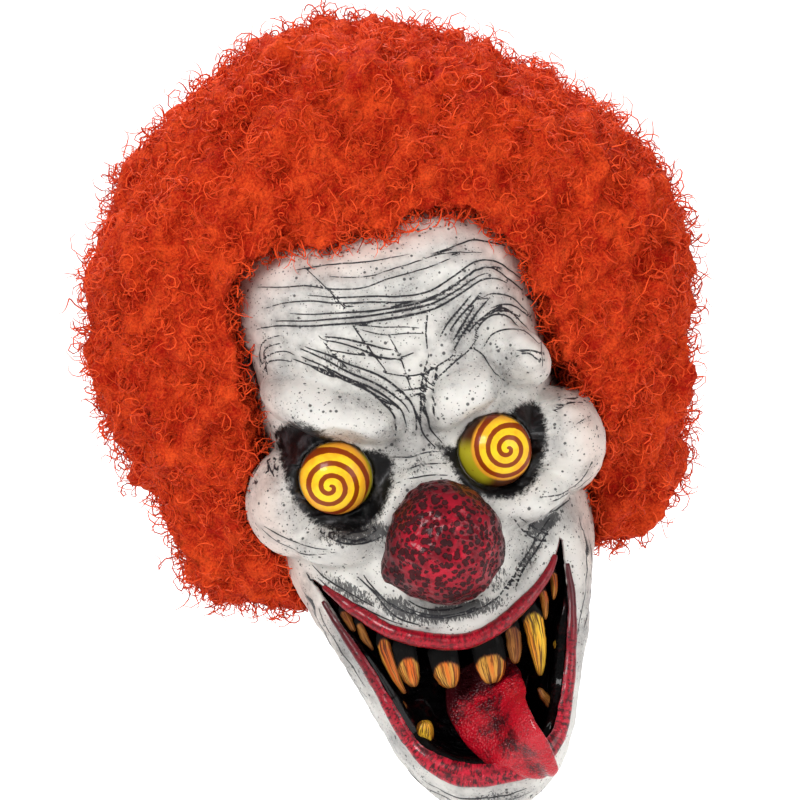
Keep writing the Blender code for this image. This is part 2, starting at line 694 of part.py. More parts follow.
def make_lining(outline, face, material):
    return loft("mouth_lining", lining_rings(outline, face), material, True, True)


def make_gum_clearance(outline, face, material):
    """The lining's wall grown on both sides, which trims what is rooted in it."""
    return make_cutter(loft("gum_clearance", lining_rings(outline, face, FACET_GAP), material, True, True))


def gum_point(outline, first, count, along, face):
    """Where a tooth's root sits in the gum, and the way into the mouth there."""
    moved = inset_outline(outline, GUM_REACH, ROOT_SINK * LINING_WALL, PIECE_GAP)
    place = first + along * (count - 1)
    low = int(place) % len(outline)
    high = (low + 1) % len(outline)
    part = place - int(place)
    root = moved[low] * (1 - part) + moved[high] * part
    inward = inward_of(outline)[low]
    skin = face.point_at(*(outline[low] * (1 - part) + outline[high] * part))[1]
    y = skin + (MOUTH_BACK_Y - skin) * ROOT_DEPTH_SHARE
    return np.array([root[0], y, root[1]]), np.array([inward[0], 0, inward[1]])


def make_tooth(name, tooth, root, inward, material, gum_clearance):
    """A tooth bent from its gum towards its tip."""
    tip = np.array(
        [
            MOUTH_X + tooth.tip_across * MOUTH_HALF_WIDTH,
            root[1] - TOOTH_LEAN * TOOTH_DEPTH,
            MOUTH_CORNER_Z - tooth.tip_drop * MOUTH_HEIGHT,
        ]
    )
    length = np.linalg.norm(tip - root)
    bend = root + inward * TOOTH_BEND * length
    half_width = 0.5 * tooth.width * MOUTH_HALF_WIDTH
    rings = []
    for row in TOOTH_ROWS:
        share = row.share
        wide = row.width - row.narrowing * tooth.point
        centre = (1 - share) ** 2 * root + 2 * share * (1 - share) * bend + share**2 * tip
        way = (1 - share) * (bend - root) + share * (tip - bend)
        way /= np.linalg.norm(way)
        across = np.cross(way, (0, 1, 0))
        across /= np.linalg.norm(across)
        forward = np.cross(across, way)
        turn = np.arange(TOOTH_SIDES) * 2 * math.pi / TOOTH_SIDES
        wide_points = across * (half_width * wide * np.cos(turn))[:, None]
        deep_points = forward * (0.5 * TOOTH_DEPTH * min(1.1 * wide, 1) * np.sin(turn))[:, None]
        rings.append(centre + wide_points + deep_points)
    item = loft(name, rings, material, True, True)
    cut(item, gum_clearance)
    return item


def make_teeth(outline, face, material, gum_clearance):
    upper = (UPPER_TEETH, 0, UPPER_LIP_STATIONS, "upper_tooth")
    lower = (LOWER_TEETH, UPPER_LIP_STATIONS - 1, LOWER_LIP_STATIONS, "lower_tooth")
    for teeth, first, count, name in (upper, lower):
        for number, tooth in enumerate(teeth, 1):
            root, inward = gum_point(outline, first, count, tooth.along, face)
            make_tooth(f"{name}_{number}", tooth, root, inward, material, gum_clearance)


def make_tongue(face, material, clearances):
    """The tongue, from the lining's back over the lower lip, with a groove down its middle."""
    rings = []
    centres = []
    over_lip = LIP_PROUD + FACET_GAP + 0.5 * TONGUE_THICKNESS
    for row in TONGUE_ROWS:
        x = MOUTH_X + row.across * MOUTH_HALF_WIDTH
        z = MOUTH_CORNER_Z - row.drop * MOUTH_HEIGHT
        skin = face.point_at(x, z)[1]
        centres.append((x, skin + (MOUTH_BACK_Y - skin) * row.depth - over_lip * row.proud, z))
    centres = np.array(centres)
    along = np.gradient(centres, axis=0)
    for row, centre, way in zip(TONGUE_ROWS, centres, along):
        way /= np.linalg.norm(way)
        across = np.cross(way, (0, 0, 1)) + np.array([1, 0, 0])
        across -= way * across.dot(way)
        across /= np.linalg.norm(across)
        up = np.cross(across, way)
        up *= -1 if up[1] > 0 else 1
        turn = np.arange(TONGUE_SIDES) * 2 * math.pi / TONGUE_SIDES
        wide = row.half_width * TONGUE_HALF_WIDTH * np.cos(turn)
        high = 0.5 * row.thickness * TONGUE_THICKNESS * np.sin(turn)
        groove = TONGUE_GROOVE * row.thickness * np.clip(np.sin(turn), 0, 1) ** 8
        rings.append(centre + across * wide[:, None] + up * (high - groove)[:, None])
    item = loft("tongue", rings, material, True, True)
    for clearance in clearances:
        cut(item, clearance)
    return item


def hair_rings():
    """The wig's outside, with a lump for each lock over it."""
    place = np.linspace(0, len(HAIR_RINGS) - 1, HAIR_ROWS + 1)
    angle = np.arange(HAIR_SIDES) * 2 * math.pi / HAIR_SIDES
    angle, place = np.meshgrid(angle, place)
    sine, cosine = np.sin(angle), -np.cos(angle)
    left = column(HAIR_RINGS, "left", place) * HAIR_HALF_WIDTH
    right = column(HAIR_RINGS, "right", place) * HAIR_HALF_WIDTH
    front = column(HAIR_RINGS, "front", place) * HAIR_BEFORE_EARS
    back = column(HAIR_RINGS, "back", place) * HAIR_BACK
    middle = 0.5 * (right - left)
    half_width = 0.5 * (left + right)
    depth = np.where(cosine < 0, front, back)
    reach = round_reach(sine / half_width, cosine / depth)
    z = HAIR_BOTTOM_Z + HAIR_HEIGHT * column(HAIR_RINGS, "level", place)
    points = np.stack([HAIR_SHIFT + middle + reach * sine, reach * cosine, z], -1)
    centre_z = HAIR_BOTTOM_Z + LOCK_CENTRE_RISE * HAIR_HEIGHT
    centre = np.array([HAIR_SHIFT, LOCK_CENTRE_BACK * HAIR_BACK, centre_z])
    outward = points - centre
    outward /= np.linalg.norm(outward, axis=-1)[..., None]
    return points + outward * (LOCK_HEIGHT * lock_share(outward))[..., None]


def lock_share(direction):
    """0 between the locks and 1 on the middle of one: locks sit evenly round the wig on a golden spiral."""
    number = np.arange(LOCK_COUNT) + 0.5
    rise = 1 - 2 * number / LOCK_COUNT
    turn = math.pi * (1 + 5**0.5) * number
    flat = np.sqrt(1 - rise * rise)
    locks = np.stack([flat * np.cos(turn), flat * np.sin(turn), rise], -1)
    away = np.degrees(np.arccos(np.clip(direction @ locks.T, -1, 1))).min(-1)
    half_lock = math.degrees(math.sqrt(4 * math.pi / LOCK_COUNT)) * LOCK_OVERLAP
    return np.clip(1 - (away / half_lock) ** 2, 0, 1) - 0.5


def make_hair(material, clearance):
    """The wig: fused locks round the latex, with its opening round the face."""
    item = loft("hair", hair_rings()[::-1, ::-1], material, True, True)
    across = HEAD_HALF_WIDTH * np.array([point.across for point in HAIRLINE])
    height = EYE_LINE_Z + CROWN_ABOVE_EYES * np.array([point.rise for point in HAIRLINE])
    outline = np.stack([across, height], -1)
    middle = outline.mean(axis=0)
    rings = []
    ends = ((-2 * HEAD_FRONT, FACE_OPENING_SPREAD), (-FACE_OPENING_BACK, 1.0))
    for y, spread in ends:
        grown = middle + (outline - middle) * spread
        rings.append([(x, y, z) for x, z in grown])
    opening = make_cutter(loft("face_opening", rings, material, True, True))
    cut(item, opening)
    cut(item, clearance)
    return item


def main():
    for old in list(bpy.data.objects):
        bpy.data.objects.remove(old, do_unlink=True)
    latex = make_material("latex", (0.80, 0.76, 0.70), 0.45)
    yellow = make_material("eye_gloss", (1.00, 0.55, 0.04), 0.15)
    maroon = make_material("nose_gloss", (0.22, 0.01, 0.02), 0.35)
    red = make_material("lip_gloss", (0.48, 0.01, 0.03), 0.30)
    black = make_material("mouth_black", (0.02, 0.01, 0.01), 0.25)
    wet_red = make_material("tongue_gloss", (0.50, 0.02, 0.05), 0.20)
    amber = make_material("tooth_enamel", (0.65, 0.30, 0.06), 0.30)
    orange = make_material("curls", (0.65, 0.05, 0.01), 0.80)

    rings = head_grid()
    face = Face(rings)
    clearance = make_clearance(rings, latex)
    outline = mouth_outline()
    head = make_head(rings, latex)
    cut(head, prism("mouth_cut", outline, -2 * HEAD_FRONT, 0.5 * MOUTH_BACK_Y, black))
    hole = EYE_RADIUS + FACET_GAP
    for name, place in zip(("eye_left", "eye_right"), eye_places()):
        make_eye(name, place, yellow)
        ring = ellipse(place, (hole, hole), EYE_SIDES)
        cut(head, prism(f"{name}_hole", ring, -2 * HEAD_FRONT, 0.5 * SOCKET_Y, black))
    half_sizes = (NOSE_HALF_WIDTH * NOSE_HOLE_SHARE, NOSE_HALF_HEIGHT * NOSE_HOLE_SHARE)
    ring = ellipse((NOSE_X, NOSE_Z), half_sizes, NOSE_SIDES)
    cut(head, prism("nose_hole", ring, -2 * HEAD_FRONT, 0.5 * NOSE_SEAT_Y, black))
    make_nose(maroon, clearance)
    upper = smooth_path(UPPER_EDGE, UPPER_LIP_STATIONS)[1:-1]
    lower = smooth_path(LOWER_EDGE, LOWER_LIP_STATIONS)[1:-1]
    make_lip("upper_lip", upper, face, 0.0, red, clearance)
    make_lip("lower_lip", lower, face, LOWER_LIP_SWELL, red, clearance)
    make_lining(outline, face, black)
    gum_clearance = make_gum_clearance(outline, face, black)
    make_teeth(outline, face, amber, gum_clearance)
    grown = lip_rings(lower, face, LOWER_LIP_SWELL, FACET_GAP)
    lip_clearance = make_cutter(loft("lip_clearance", grown, red, True, True))
    make_tongue(face, wet_red, (lip_clearance, gum_clearance))
    make_hair(orange, clearance)


main()
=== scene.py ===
"""Dresses the clown mask: inked latex, spiral eyes, a pitted nose, wet mouth, streaked teeth, curly wig.

Metres, +Z up, face towards -Y. Each class is one sub-assembly; its pieces stand for the frame's nodes.
"""

import logging
import math
from collections.abc import Iterator, Sequence
from contextlib import contextmanager
from dataclasses import dataclass, field
from enum import Enum
from typing import NamedTuple

import bpy
import numpy as np
from mathutils import Matrix, Vector
from mathutils.bvhtree import BVHTree


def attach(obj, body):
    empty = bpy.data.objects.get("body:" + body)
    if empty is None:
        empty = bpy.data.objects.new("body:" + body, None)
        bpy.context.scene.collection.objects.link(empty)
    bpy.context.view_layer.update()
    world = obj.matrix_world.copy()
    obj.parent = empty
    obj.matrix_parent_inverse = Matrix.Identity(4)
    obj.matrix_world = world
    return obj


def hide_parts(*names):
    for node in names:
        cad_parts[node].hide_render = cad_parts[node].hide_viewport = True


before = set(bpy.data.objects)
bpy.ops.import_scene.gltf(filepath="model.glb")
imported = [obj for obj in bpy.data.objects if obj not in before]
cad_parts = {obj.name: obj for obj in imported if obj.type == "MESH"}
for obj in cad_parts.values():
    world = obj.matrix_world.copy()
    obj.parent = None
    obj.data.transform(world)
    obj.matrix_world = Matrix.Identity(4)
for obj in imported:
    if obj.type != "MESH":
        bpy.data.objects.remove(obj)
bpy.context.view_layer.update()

LOG = logging.getLogger("clown_mask")
MM = 0.001
BODY = "root"
GAP = 0.0003
WELD = 1e-6
TINY = 1e-12
FAR = 1e9
NO_INK_MM = 99.0
NO_SOCKET_MM = 30.0
Pair = tuple[float, float]
Triple = tuple[float, float, float]
Colour = Triple
Array = np.ndarray
Item = bpy.types.Object
Material = bpy.types.Material
Socket = bpy.types.NodeSocket


class Ring(NamedTuple):
    """A tilted ring of the head, in shares of the head's named sizes."""

    front_z: float
    back_z: float
    half_width: float
    front: float
    back: float
    shift: float


class Lump(NamedTuple):
    """A tilted ellipsoid of the sculpt."""

    x: float
    y: float
    z: float
    long: float
    deep: float
    thick: float
    roll: float
    turn: float
    blend: float


class Fold(NamedTuple):
    """A shallow groove across the forehead."""

    x: float
    z: float
    half_length: float
    sag: float
    width: float
    depth: float


class Wave(NamedTuple):
    """Lumps of a surface: their height, their rough size and the seed that places them."""

    height: float
    pitch: float
    seed: int


class EdgePoint(NamedTuple):
    """A point of the mouth's cut, in shares of its half width and height."""

    across: float
    drop: float


class Stroke(NamedTuple):
    """A brushed line: half width and groove depth in mm, strands, and its points on the face in mm."""

    width: float
    depth: float
    strands: int
    points: tuple[Pair, ...]


class WashAndShade(NamedTuple):
    """A soft grey patch on the face plane, partly grey paint and partly painted shade, in mm: centre, half
    sizes, tilt in degrees and strength.
    """

    x: float
    z: float
    wide: float
    high: float
    tilt: float
    strength: float


HEAD_RINGS = tuple(Ring(*row) for row in (
    (1.000, 1.000, 0.00, 0.00, 0.00, 0.0),
    (0.985, 0.988, 0.30, 0.30, 0.30, 0.0),
    (0.940, 0.950, 0.58, 0.56, 0.56, 0.0),
    (0.860, 0.880, 0.80, 0.77, 0.77, 0.0),
    (0.740, 0.780, 0.935, 0.91, 0.90, 0.0),
    (0.600, 0.670, 0.99, 0.975, 0.96, 0.0),
    (0.450, 0.550, 1.00, 1.00, 1.00, 0.0),
    (0.300, 0.430, 0.98, 1.00, 1.02, 0.0),
    (0.150, 0.310, 0.97, 0.97, 1.02, 0.1),
    (0.000, 0.190, 0.96, 0.94, 1.01, 0.3),
    (-0.125, 0.070, 0.97, 0.94, 0.98, 0.3),
    (-0.250, -0.040, 1.00, 0.98, 0.95, 0.3),
    (-0.385, -0.130, 1.01, 1.04, 0.91, 0.4),
    (-0.520, -0.220, 0.99, 1.09, 0.88, 0.6),
    (-0.655, -0.300, 0.92, 1.13, 0.86, 0.7),
    (-0.790, -0.370, 0.84, 1.15, 0.85, 0.8),
    (-0.915, -0.420, 0.76, 1.13, 0.84, 0.8),
    (-1.000, -0.450, 0.71, 0.98, 0.84, 0.8),
))
LUMPS = tuple(Lump(*row) for row in (
    (-0.450, -0.80, 0.270, 0.470, 0.35, 0.185, -24.0, -24.0, 0.040),
    (0.310, -0.86, 0.240, 0.300, 0.31, 0.185, 24.0, 14.0, 0.040),
    (0.680, -0.68, 0.320, 0.235, 0.37, 0.175, -62.0, 20.0, 0.040),
    (-0.840, -0.58, -0.090, 0.250, 0.36, 0.330, 0.0, 0.0, 0.060),
    (0.930, -0.58, -0.050, 0.255, 0.36, 0.330, 0.0, 0.0, 0.060),
    (-0.560, -0.78, -0.235, 0.330, 0.28, 0.150, -8.0, -20.0, 0.060),
    (0.600, -0.78, -0.215, 0.330, 0.28, 0.155, 12.0, 20.0, 0.060),
    (0.035, -0.52, -0.520, 0.620, 0.62, 0.260, 0.0, 0.0, 0.070),
))
FOLDS = tuple(Fold(*row) for row in (
    (0.02, 0.760, 0.75, 0.020, 0.030, 0.50),
    (-0.04, 0.665, 0.80, 0.035, 0.030, 0.60),
    (0.00, 0.560, 0.80, 0.050, 0.032, 0.70),
    (0.00, 0.450, 0.55, 0.060, 0.028, 0.60),
))
UPPER_EDGE = tuple(EdgePoint(*row) for row in (
    (-0.98, 0.010), (-0.80, 0.106), (-0.65, 0.193), (-0.38, 0.307), (0.00, 0.380), (0.26, 0.367),
    (0.53, 0.290), (0.80, 0.174), (0.98, 0.010),
))
LOWER_EDGE = tuple(EdgePoint(*row) for row in (
    (0.98, 0.010), (0.95, 0.190), (0.93, 0.330), (0.88, 0.468), (0.81, 0.625), (0.73, 0.760), (0.62, 0.890),
    (0.43, 0.968), (0.14, 0.990), (-0.15, 0.960), (-0.36, 0.870), (-0.48, 0.750), (-0.57, 0.600),
    (-0.66, 0.450), (-0.775, 0.290), (-0.875, 0.155), (-0.98, 0.010),
))
LINING_ROWS = ((0.00, 0.01), (0.00, 0.12), (0.90, 0.20), (1.00, 0.45), (1.60, 0.78), (3.00, 1.00))


class ToothRow(NamedTuple):
    """A section of every tooth: share of its length, width, and how much of its point narrows it."""

    share: float
    width: float
    narrowing: float


class Tooth(NamedTuple):
    """A tooth: its root's place along the edge, its tip in the mouth's shares, width and point."""

    along: float
    tip_across: float
    tip_drop: float
    width: float
    point: float


class TongueRow(NamedTuple):
    """A section of the tongue, in shares of the mouth's and the tongue's sizes."""

    across: float
    drop: float
    depth: float
    proud: float
    half_width: float
    thickness: float


TOOTH_ROWS = tuple(ToothRow(*row) for row in (
    (0.00, 0.62, 0.00),
    (0.35, 1.00, 0.00),
    (0.75, 1.00, 0.35),
    (1.00, 0.72, 0.60),
))
UPPER_TEETH = tuple(Tooth(*row) for row in (
    (0.190, -0.700, 0.290, 0.064, 0.5),
    (0.262, -0.595, 0.385, 0.058, 0.5),
    (0.338, -0.425, 0.600, 0.090, 0.7),
    (0.392, -0.345, 0.570, 0.150, 0.3),
    (0.478, -0.075, 0.605, 0.190, 0.3),
    (0.610, 0.235, 0.620, 0.205, 0.2),
    (0.700, 0.430, 0.555, 0.100, 0.3),
    (0.765, 0.600, 0.635, 0.140, 0.7),
    (0.825, 0.715, 0.395, 0.056, 0.5),
    (0.876, 0.805, 0.320, 0.054, 0.5),
))
LOWER_TEETH = tuple(Tooth(*row) for row in (
    (0.215, 0.760, 0.530, 0.110, 0.4),
    (0.330, 0.570, 0.690, 0.070, 0.5),
    (0.640, -0.320, 0.730, 0.120, 0.3),
    (0.720, -0.440, 0.650, 0.095, 0.4),
))
TONGUE_ROWS = tuple(TongueRow(*row) for row in (
    (0.12, 0.570, 0.880, 0.00, 0.68, 0.9),
    (0.15, 0.640, 0.700, 0.00, 0.92, 1.2),
    (0.18, 0.710, 0.450, 0.00, 1.00, 1.2),
    (0.23, 0.790, 0.190, 0.10, 0.96, 1.1),
    (0.30, 0.865, 0.000, 0.85, 0.86, 1.0),
    (0.38, 0.935, 0.000, 1.10, 0.68, 0.9),
    (0.46, 1.005, 0.000, 1.20, 0.42, 0.8),
    (0.50, 1.040, 0.000, 1.05, 0.15, 0.5),
))
HAIRLINE = (
    (-0.86, -0.80), (-0.88, -0.38), (-0.98, -0.24), (-1.02, -0.06), (-0.94, 0.12), (-0.91, 0.34),
    (-0.94, 0.56), (-0.97, 0.68), (-0.86, 0.80), (-0.60, 0.87), (-0.30, 0.83), (0.05, 0.85),
    (0.40, 0.90), (0.62, 0.85), (0.78, 0.68), (0.88, 0.50), (0.96, 0.27), (1.08, 0.06),
    (1.10, -0.14), (1.02, -0.28), (1.02, -0.80),
)
# Brushed creases of the forehead, brows, nose, cheeks and jaw.
STROKES = tuple(Stroke(*row) for row in (
    (0.45, 0.3, 1, ((-51, 123), (-33, 122.6), (-10, 120), (16, 120))),
    (0.52, 0.4, 1, ((21, 117), (35, 119), (50, 122), (59, 120), (70, 115))),
    (0.52, 0.5, 1, ((-73, 118), (-59, 115), (-44, 113), (-33, 109), (-15, 106), (1, 108.5), (25, 111),
                   (42, 115))),
    (0.62, 0.7, 2, ((-70, 106.5), (-59, 107), (-44, 105), (-30, 101), (-10, 98), (7, 95), (22, 95),
                   (38, 101), (51, 107), (61, 106), (70, 98), (78, 89), (81, 80))),
    (0.72, 1.0, 3, ((-78, 98), (-65, 97), (-48, 93), (-33, 91), (-15, 89), (5, 88.5), (22, 90),
                   (36, 95), (51, 102), (61, 102), (69, 98))),
    (0.45, 0.2, 1, ((-26, 96.6), (-15, 98), (-2, 96))),
    (0.45, 0.3, 2, ((-78, 68), (-77, 80), (-73, 85), (-64, 87))),
    (0.78, 1.2, 4, ((-58, 78), (-50, 73), (-42, 68), (-33, 61), (-23, 55), (-15, 49), (-8, 41), (-4, 34),
                   (-4, 25), (-8, 15))),
    (0.52, 0.5, 1, ((-51, 68), (-42, 61), (-30, 55), (-18, 46), (-8, 37))),
    (0.68, 0.8, 2, ((-41, 82), (-30, 78), (-18, 72), (-10, 68), (-2, 66), (8, 67))),
    (0.52, 0.5, 1, ((-41, 76), (-28, 71), (-14, 67), (-2, 63))),
    (0.40, 0.0, 1, ((-44, 85), (-37, 72), (-28, 58))),
    (0.52, 0.0, 1, ((-24, 87), (-18, 74), (-10, 58))),
    (0.45, 0.3, 1, ((-5, 77), (-1, 65), (1, 52), (2, 45))),
    (0.62, 0.6, 1, ((19, 86), (16, 76), (15, 66))),
    (0.40, 0.0, 1, ((-44, 123), (-36, 112), (-30, 103), (-26, 96))),
    (0.58, 0.5, 1, ((-11, 57), (1, 53), (11, 53), (23, 57), (31, 61))),
    (0.58, 0.5, 1, ((-8, 46), (4, 45), (13, 46), (21, 51), (29, 56), (38, 61), (45, 68))),
    (0.45, 0.3, 1, ((-4, 40), (1, 41), (11, 43))),
    (0.78, 0.9, 4, ((25, 66), (31, 72), (38, 78), (45, 85), (51, 91))),
    (0.62, 0.6, 2, ((41, 69), (47, 75), (56, 79), (65, 77), (71, 71))),
    (0.58, 0.6, 2, ((46, 78), (55, 81), (62, 82), (69, 78), (76, 68))),
    (0.52, 0.5, 1, ((49, 88), (56, 90), (64, 88), (71, 83), (78, 72))),
    (0.52, 0.5, 1, ((46, 61), (52, 67), (61, 69), (71, 66), (77, 58))),
    (0.62, 0.4, 2, ((63, 55), (71, 54), (77, 50))),
    (0.68, 0.9, 3, ((18, 62), (12, 50), (9, 38), (8, 29), (8, 21), (13, 12))),
    (0.58, 0.6, 1, ((40, 62), (45, 57), (50, 47), (55, 40))),
    (0.68, 0.6, 2, ((78, 35), (84, 39), (90, 41), (95, 37))),
    (0.62, 0.6, 2, ((77, 25), (83, 31), (90, 32), (97, 29))),
    (0.58, 0.5, 2, ((77, 14), (84, 21), (92, 23), (100, 22))),
    (0.45, 0.2, 1, ((90, 9), (96, 11), (102, 13))),
    (0.58, 0.3, 3, ((81, 92), (83, 80), (84, 66), (82, 52), (80, 42))),
    (0.58, 0.3, 3, ((-84, 42), (-86, 32), (-84, 22), (-80, 12))),
    (0.52, 0.3, 2, ((-84, 92), (-85, 78), (-84, 62), (-85, 50))),
    (0.68, 0.6, 3, ((-74, -44), (-66, -54), (-55, -65), (-42, -76), (-26, -85))),
    (0.62, 0.5, 2, ((-46, -52), (-40, -62), (-30, -75), (-16, -84))),
    (0.72, 0.4, 3, ((-62, -22), (-50, -30), (-38, -31), (-28, -28))),
    (0.68, 0.6, 2, ((73, -38), (64, -46), (54, -57), (44, -66), (36, -76))),
    (0.72, 0.5, 1, ((80, -33), (70, -37), (58, -41), (50, -48))),
    (0.62, 0.4, 2, ((46, -36), (52, -44), (62, -52))),
    (0.72, 0.6, 3, ((-30, -68), (-20, -77), (-6, -82), (10, -82), (26, -77), (36, -67))),
    (0.45, 0.4, 1, ((-16, 10), (-6, 8), (4, 9), (12, 8))),
    (0.45, 0.4, 1, ((-18, 3), (-8, 2), (2, 3), (14, 1))),
    (0.45, 0.3, 1, ((-16, -5), (-8, -4), (4, -4), (14, -6))),
    (0.52, 0.3, 2, ((-74, -62), (-73, -78), (-68, -92), (-60, -108), (-52, -122))),
    (0.45, 0.2, 2, ((-66, -58), (-64, -74), (-60, -90))),
    (0.52, 0.3, 2, ((84, -44), (85, -62), (83, -80), (77, -98), (70, -114))),
    (0.45, 0.2, 2, ((92, -48), (93, -64), (90, -80))),
    (0.40, 0.1, 1, ((-34, 116), (-12, 112), (10, 114), (34, 117), (56, 114))),
    (0.45, 0.2, 2, ((-80, 70), (-74, 76), (-66, 77), (-60, 74))),
    (0.40, 0.0, 2, ((-20, 84), (-8, 80), (6, 79), (16, 76))),
    (0.45, 0.2, 2, ((-100, 4), (-92, 14), (-84, 18), (-76, 14))),
    (0.40, 0.1, 2, ((-96, -14), (-84, -26), (-70, -34), (-56, -36))),
    (0.45, 0.2, 2, ((-34, -20), (-44, -26), (-54, -25), (-64, -18))),
    (0.40, 0.1, 2, ((98, -14), (88, -24), (76, -29), (62, -30))),
    (0.45, 0.2, 2, ((-78, -52), (-78, -66), (-74, -82), (-66, -98))),
    (0.40, 0.1, 2, ((86, -52), (88, -68), (86, -86), (80, -100))),
    (0.52, 0.3, 2, ((-40, -166), (-30, -180), (-14, -189), (8, -192), (28, -190))),
))
# Soft grey patches on the face: dry-brushed grey paint, and painted shade under the eyes, nose and lower lip
# and along the cheek folds.
WASHES_AND_SHADE = tuple(WashAndShade(*row) for row in (
    (-40, -29, 30, 8, -4, 0.80),
    (-52, -61, 26, 7, -38, 0.70),
    (-28, -74, 16, 9, -30, 0.75),
    (4, -82, 38, 7, 0, 0.85),
    (30, -68, 12, 12, 30, 0.60),
    (63, -43, 16, 6, 20, 0.85),
    (50, -60, 18, 6, 42, 0.65),
    (-2, 2, 16, 10, 0, 0.55),
    (-76, -80, 9, 34, 12, 0.45),
    (84, -80, 9, 40, -8, 0.45),
    (-85, 28, 6, 18, 0, 0.70),
    (84, 68, 6, 28, 0, 0.60),
    (89, 28, 12, 14, 0, 0.50),
    (0, -192, 50, 7, 0, 0.60),
    (2, 55, 18, 22, 0, 0.35),
    (38, 76, 12, 16, -40, 0.50),
    (-34, 66, 26, 7, -34, 0.55),
    (0, 90, 50, 6, 0, 0.40),
))
LEFT_SOCKET = ((-79, 36), (-77, 15), (-73, -6), (-62, -21), (-45, -27), (-30, -22), (-20, -8), (-16, 6),
               (-20, 13), (-35, 18), (-45, 25), (-55, 33), (-66, 39))
RIGHT_SOCKET = ((11, 12), (16, 0), (25, -18), (45, -25), (60, -19), (69, -4), (73, 12), (71, 24), (62, 25),
                (48, 21), (38, 17), (28, 12), (20, 9))


def srgb(red: float, green: float, blue: float) -> Colour:
    """The colour in linear light of sRGB channels from 0 to 255."""
    return tuple(((c / 255 + 0.055) / 1.055) ** 2.4 if c > 10 else c / 3294.6 for c in (red, green, blue))


def smooth_at(values: Sequence[float], place: Array) -> Array:
    """Catmull-Rom value of evenly spaced numbers.

    Args:
        values: the numbers, one a row of a table.
        place: fractional rows to read.

    Returns:
        The smooth value at each place.
    """
    values = np.asarray(values, float)
    place = np.clip(np.asarray(place, float), 0.0, len(values) - 1.0)
    first = np.minimum(place.astype(int), len(values) - 2)
    part = place - first
    before, a = values[np.maximum(first - 1, 0)], values[first]
    b, after = values[first + 1], values[np.minimum(first + 2, len(values) - 1)]
    cubic = part * (3 * (a - b) + after - before)
    return a + 0.5 * part * (b - before + part * (2 * before - 5 * a + 4 * b - after + cubic))


def smooth_points(points: Sequence[Sequence[float]], count: int) -> Array:
    """A smooth open line through a few points.

    Args:
        points: the points to pass through.
        count: how many points to return.

    Returns:
        An array of count points.
    """
    table = np.asarray(points, float)
    place = np.linspace(0, len(table) - 1, count)
    return np.stack([smooth_at(column, place) for column in table.T], -1)


def unit(vectors: Array) -> Array:
    """Vectors scaled to a length of 1."""
    return vectors / np.maximum(np.linalg.norm(vectors, axis=-1, keepdims=True), TINY)


def full_turn(count: int) -> Array:
    """Angles of a whole turn in even steps, without its end."""
    return np.arange(count) * 2 * math.pi / count


def closed(outline: Array) -> Array:
    """An outline with its first point once more at its end."""
    return np.concatenate([outline, outline[:1]])


def fade(value: Array, low: float, high: float) -> Array:
    """Smooth step from 0 at low to 1 at high, which may be below low."""
    share = np.clip((value - low) / (high - low), 0, 1)
    return share * share * (3 - 2 * share)


def wobble(points: Array, pitch: float, seed: int) -> Array:
    """Smooth lumpy noise from a few crossing waves.

    Args:
        points: places in metres.
        pitch: rough size of a lump in metres.
        seed: picks the waves.

    Returns:
        A value in about -1 to 1 for each point.
    """
    picks = np.random.default_rng(seed)
    total = np.zeros(points.shape[:-1])
    for _ in range(9):
        way = picks.normal(size=3)
        way *= 2 * math.pi / (pitch * picks.uniform(0.7, 1.6) * np.linalg.norm(way))
        total += np.sin(points @ way + picks.uniform(0, 6.3))
    return total / 3.6


def ripple(points: Array, *waves: Wave) -> Array:
    """Height of several waves' lumps together at each place."""
    return sum(wave.height * wobble(points, wave.pitch, wave.seed) for wave in waves)


def path_distance(points: Array, path: Array) -> tuple[Array, ...]:
    """How far flat points are from an open line.

    Args:
        points: (n, 2) places.
        path: (m, 2) points of the line.

    Returns:
        The distance, the side as +1 or -1, the share along the line, and the line's nearest place.
    """
    best = np.full(len(points), FAR)
    side, along, place = np.ones(len(points)), np.zeros(len(points)), points.copy()
    for i, (start, end) in enumerate(zip(path, path[1:])):
        edge = end - start
        offset = points - start
        share = np.clip(offset @ edge / max(edge @ edge, TINY), 0, 1)
        gap = offset - share[:, None] * edge
        away = np.hypot(gap[:, 0], gap[:, 1])
        near = away < best
        best[near] = away[near]
        turn = edge[0] * offset[:, 1] - edge[1] * offset[:, 0]
        side[near] = np.where(turn[near] < 0, -1.0, 1.0)
        along[near] = (i + share[near]) / (len(path) - 1)
        place[near] = points[near] - gap[near]
    return best, side, along, place


def outline_distance(points: Array, outline: Array) -> Array:
    """Signed distance of flat points to a closed outline.

    Args:
        points: (n, 2) places.
        outline: (m, 2) corners.

    Returns:
        Distances, below 0 inside.
    """
    line = closed(outline)
    away = path_distance(points, line)[0]
    inside = np.zeros(len(points), bool)
    for start, end in zip(line, line[1:]):
        crosses = (start[1] > points[:, 1]) != (end[1] > points[:, 1])
        rise = end[1] - start[1] or TINY
        share = (points[:, 1] - start[1]) / rise
        inside ^= crosses & (points[:, 0] < start[0] + share * (end[0] - start[0]))
    return np.where(inside, -away, away)


def ring_faces(rows: int, sides: int) -> list[list[int]]:
    """Quads over a grid of closed rings, numbered from 0.

    Args:
        rows: how many rings.
        sides: points of a ring.

    Returns:
        Corner numbers of every quad.
    """
    number = np.arange(rows * sides).reshape(rows, sides)
    after = np.roll(number, -1, 1)
    return np.stack([number[:-1], number[1:], after[1:], after[:-1]], -1).reshape(-1, 4).tolist()


def grid_normals(rings: Array) -> Array:
    """Outward unit normals over rings that run anticlockwise from above, top to bottom."""
    around = np.roll(rings, -1, axis=1) - np.roll(rings, 1, axis=1)
    normal = np.cross(np.gradient(rings, axis=0), around)
    normal[np.linalg.norm(normal, axis=-1) < TINY] = (0, 0, 1)
    return unit(normal)


def pick(item: Item) -> None:
    """Makes one object the only selected and active one."""
    bpy.ops.object.select_all(action="DESELECT")
    item.select_set(True)
    bpy.context.view_layer.objects.active = item


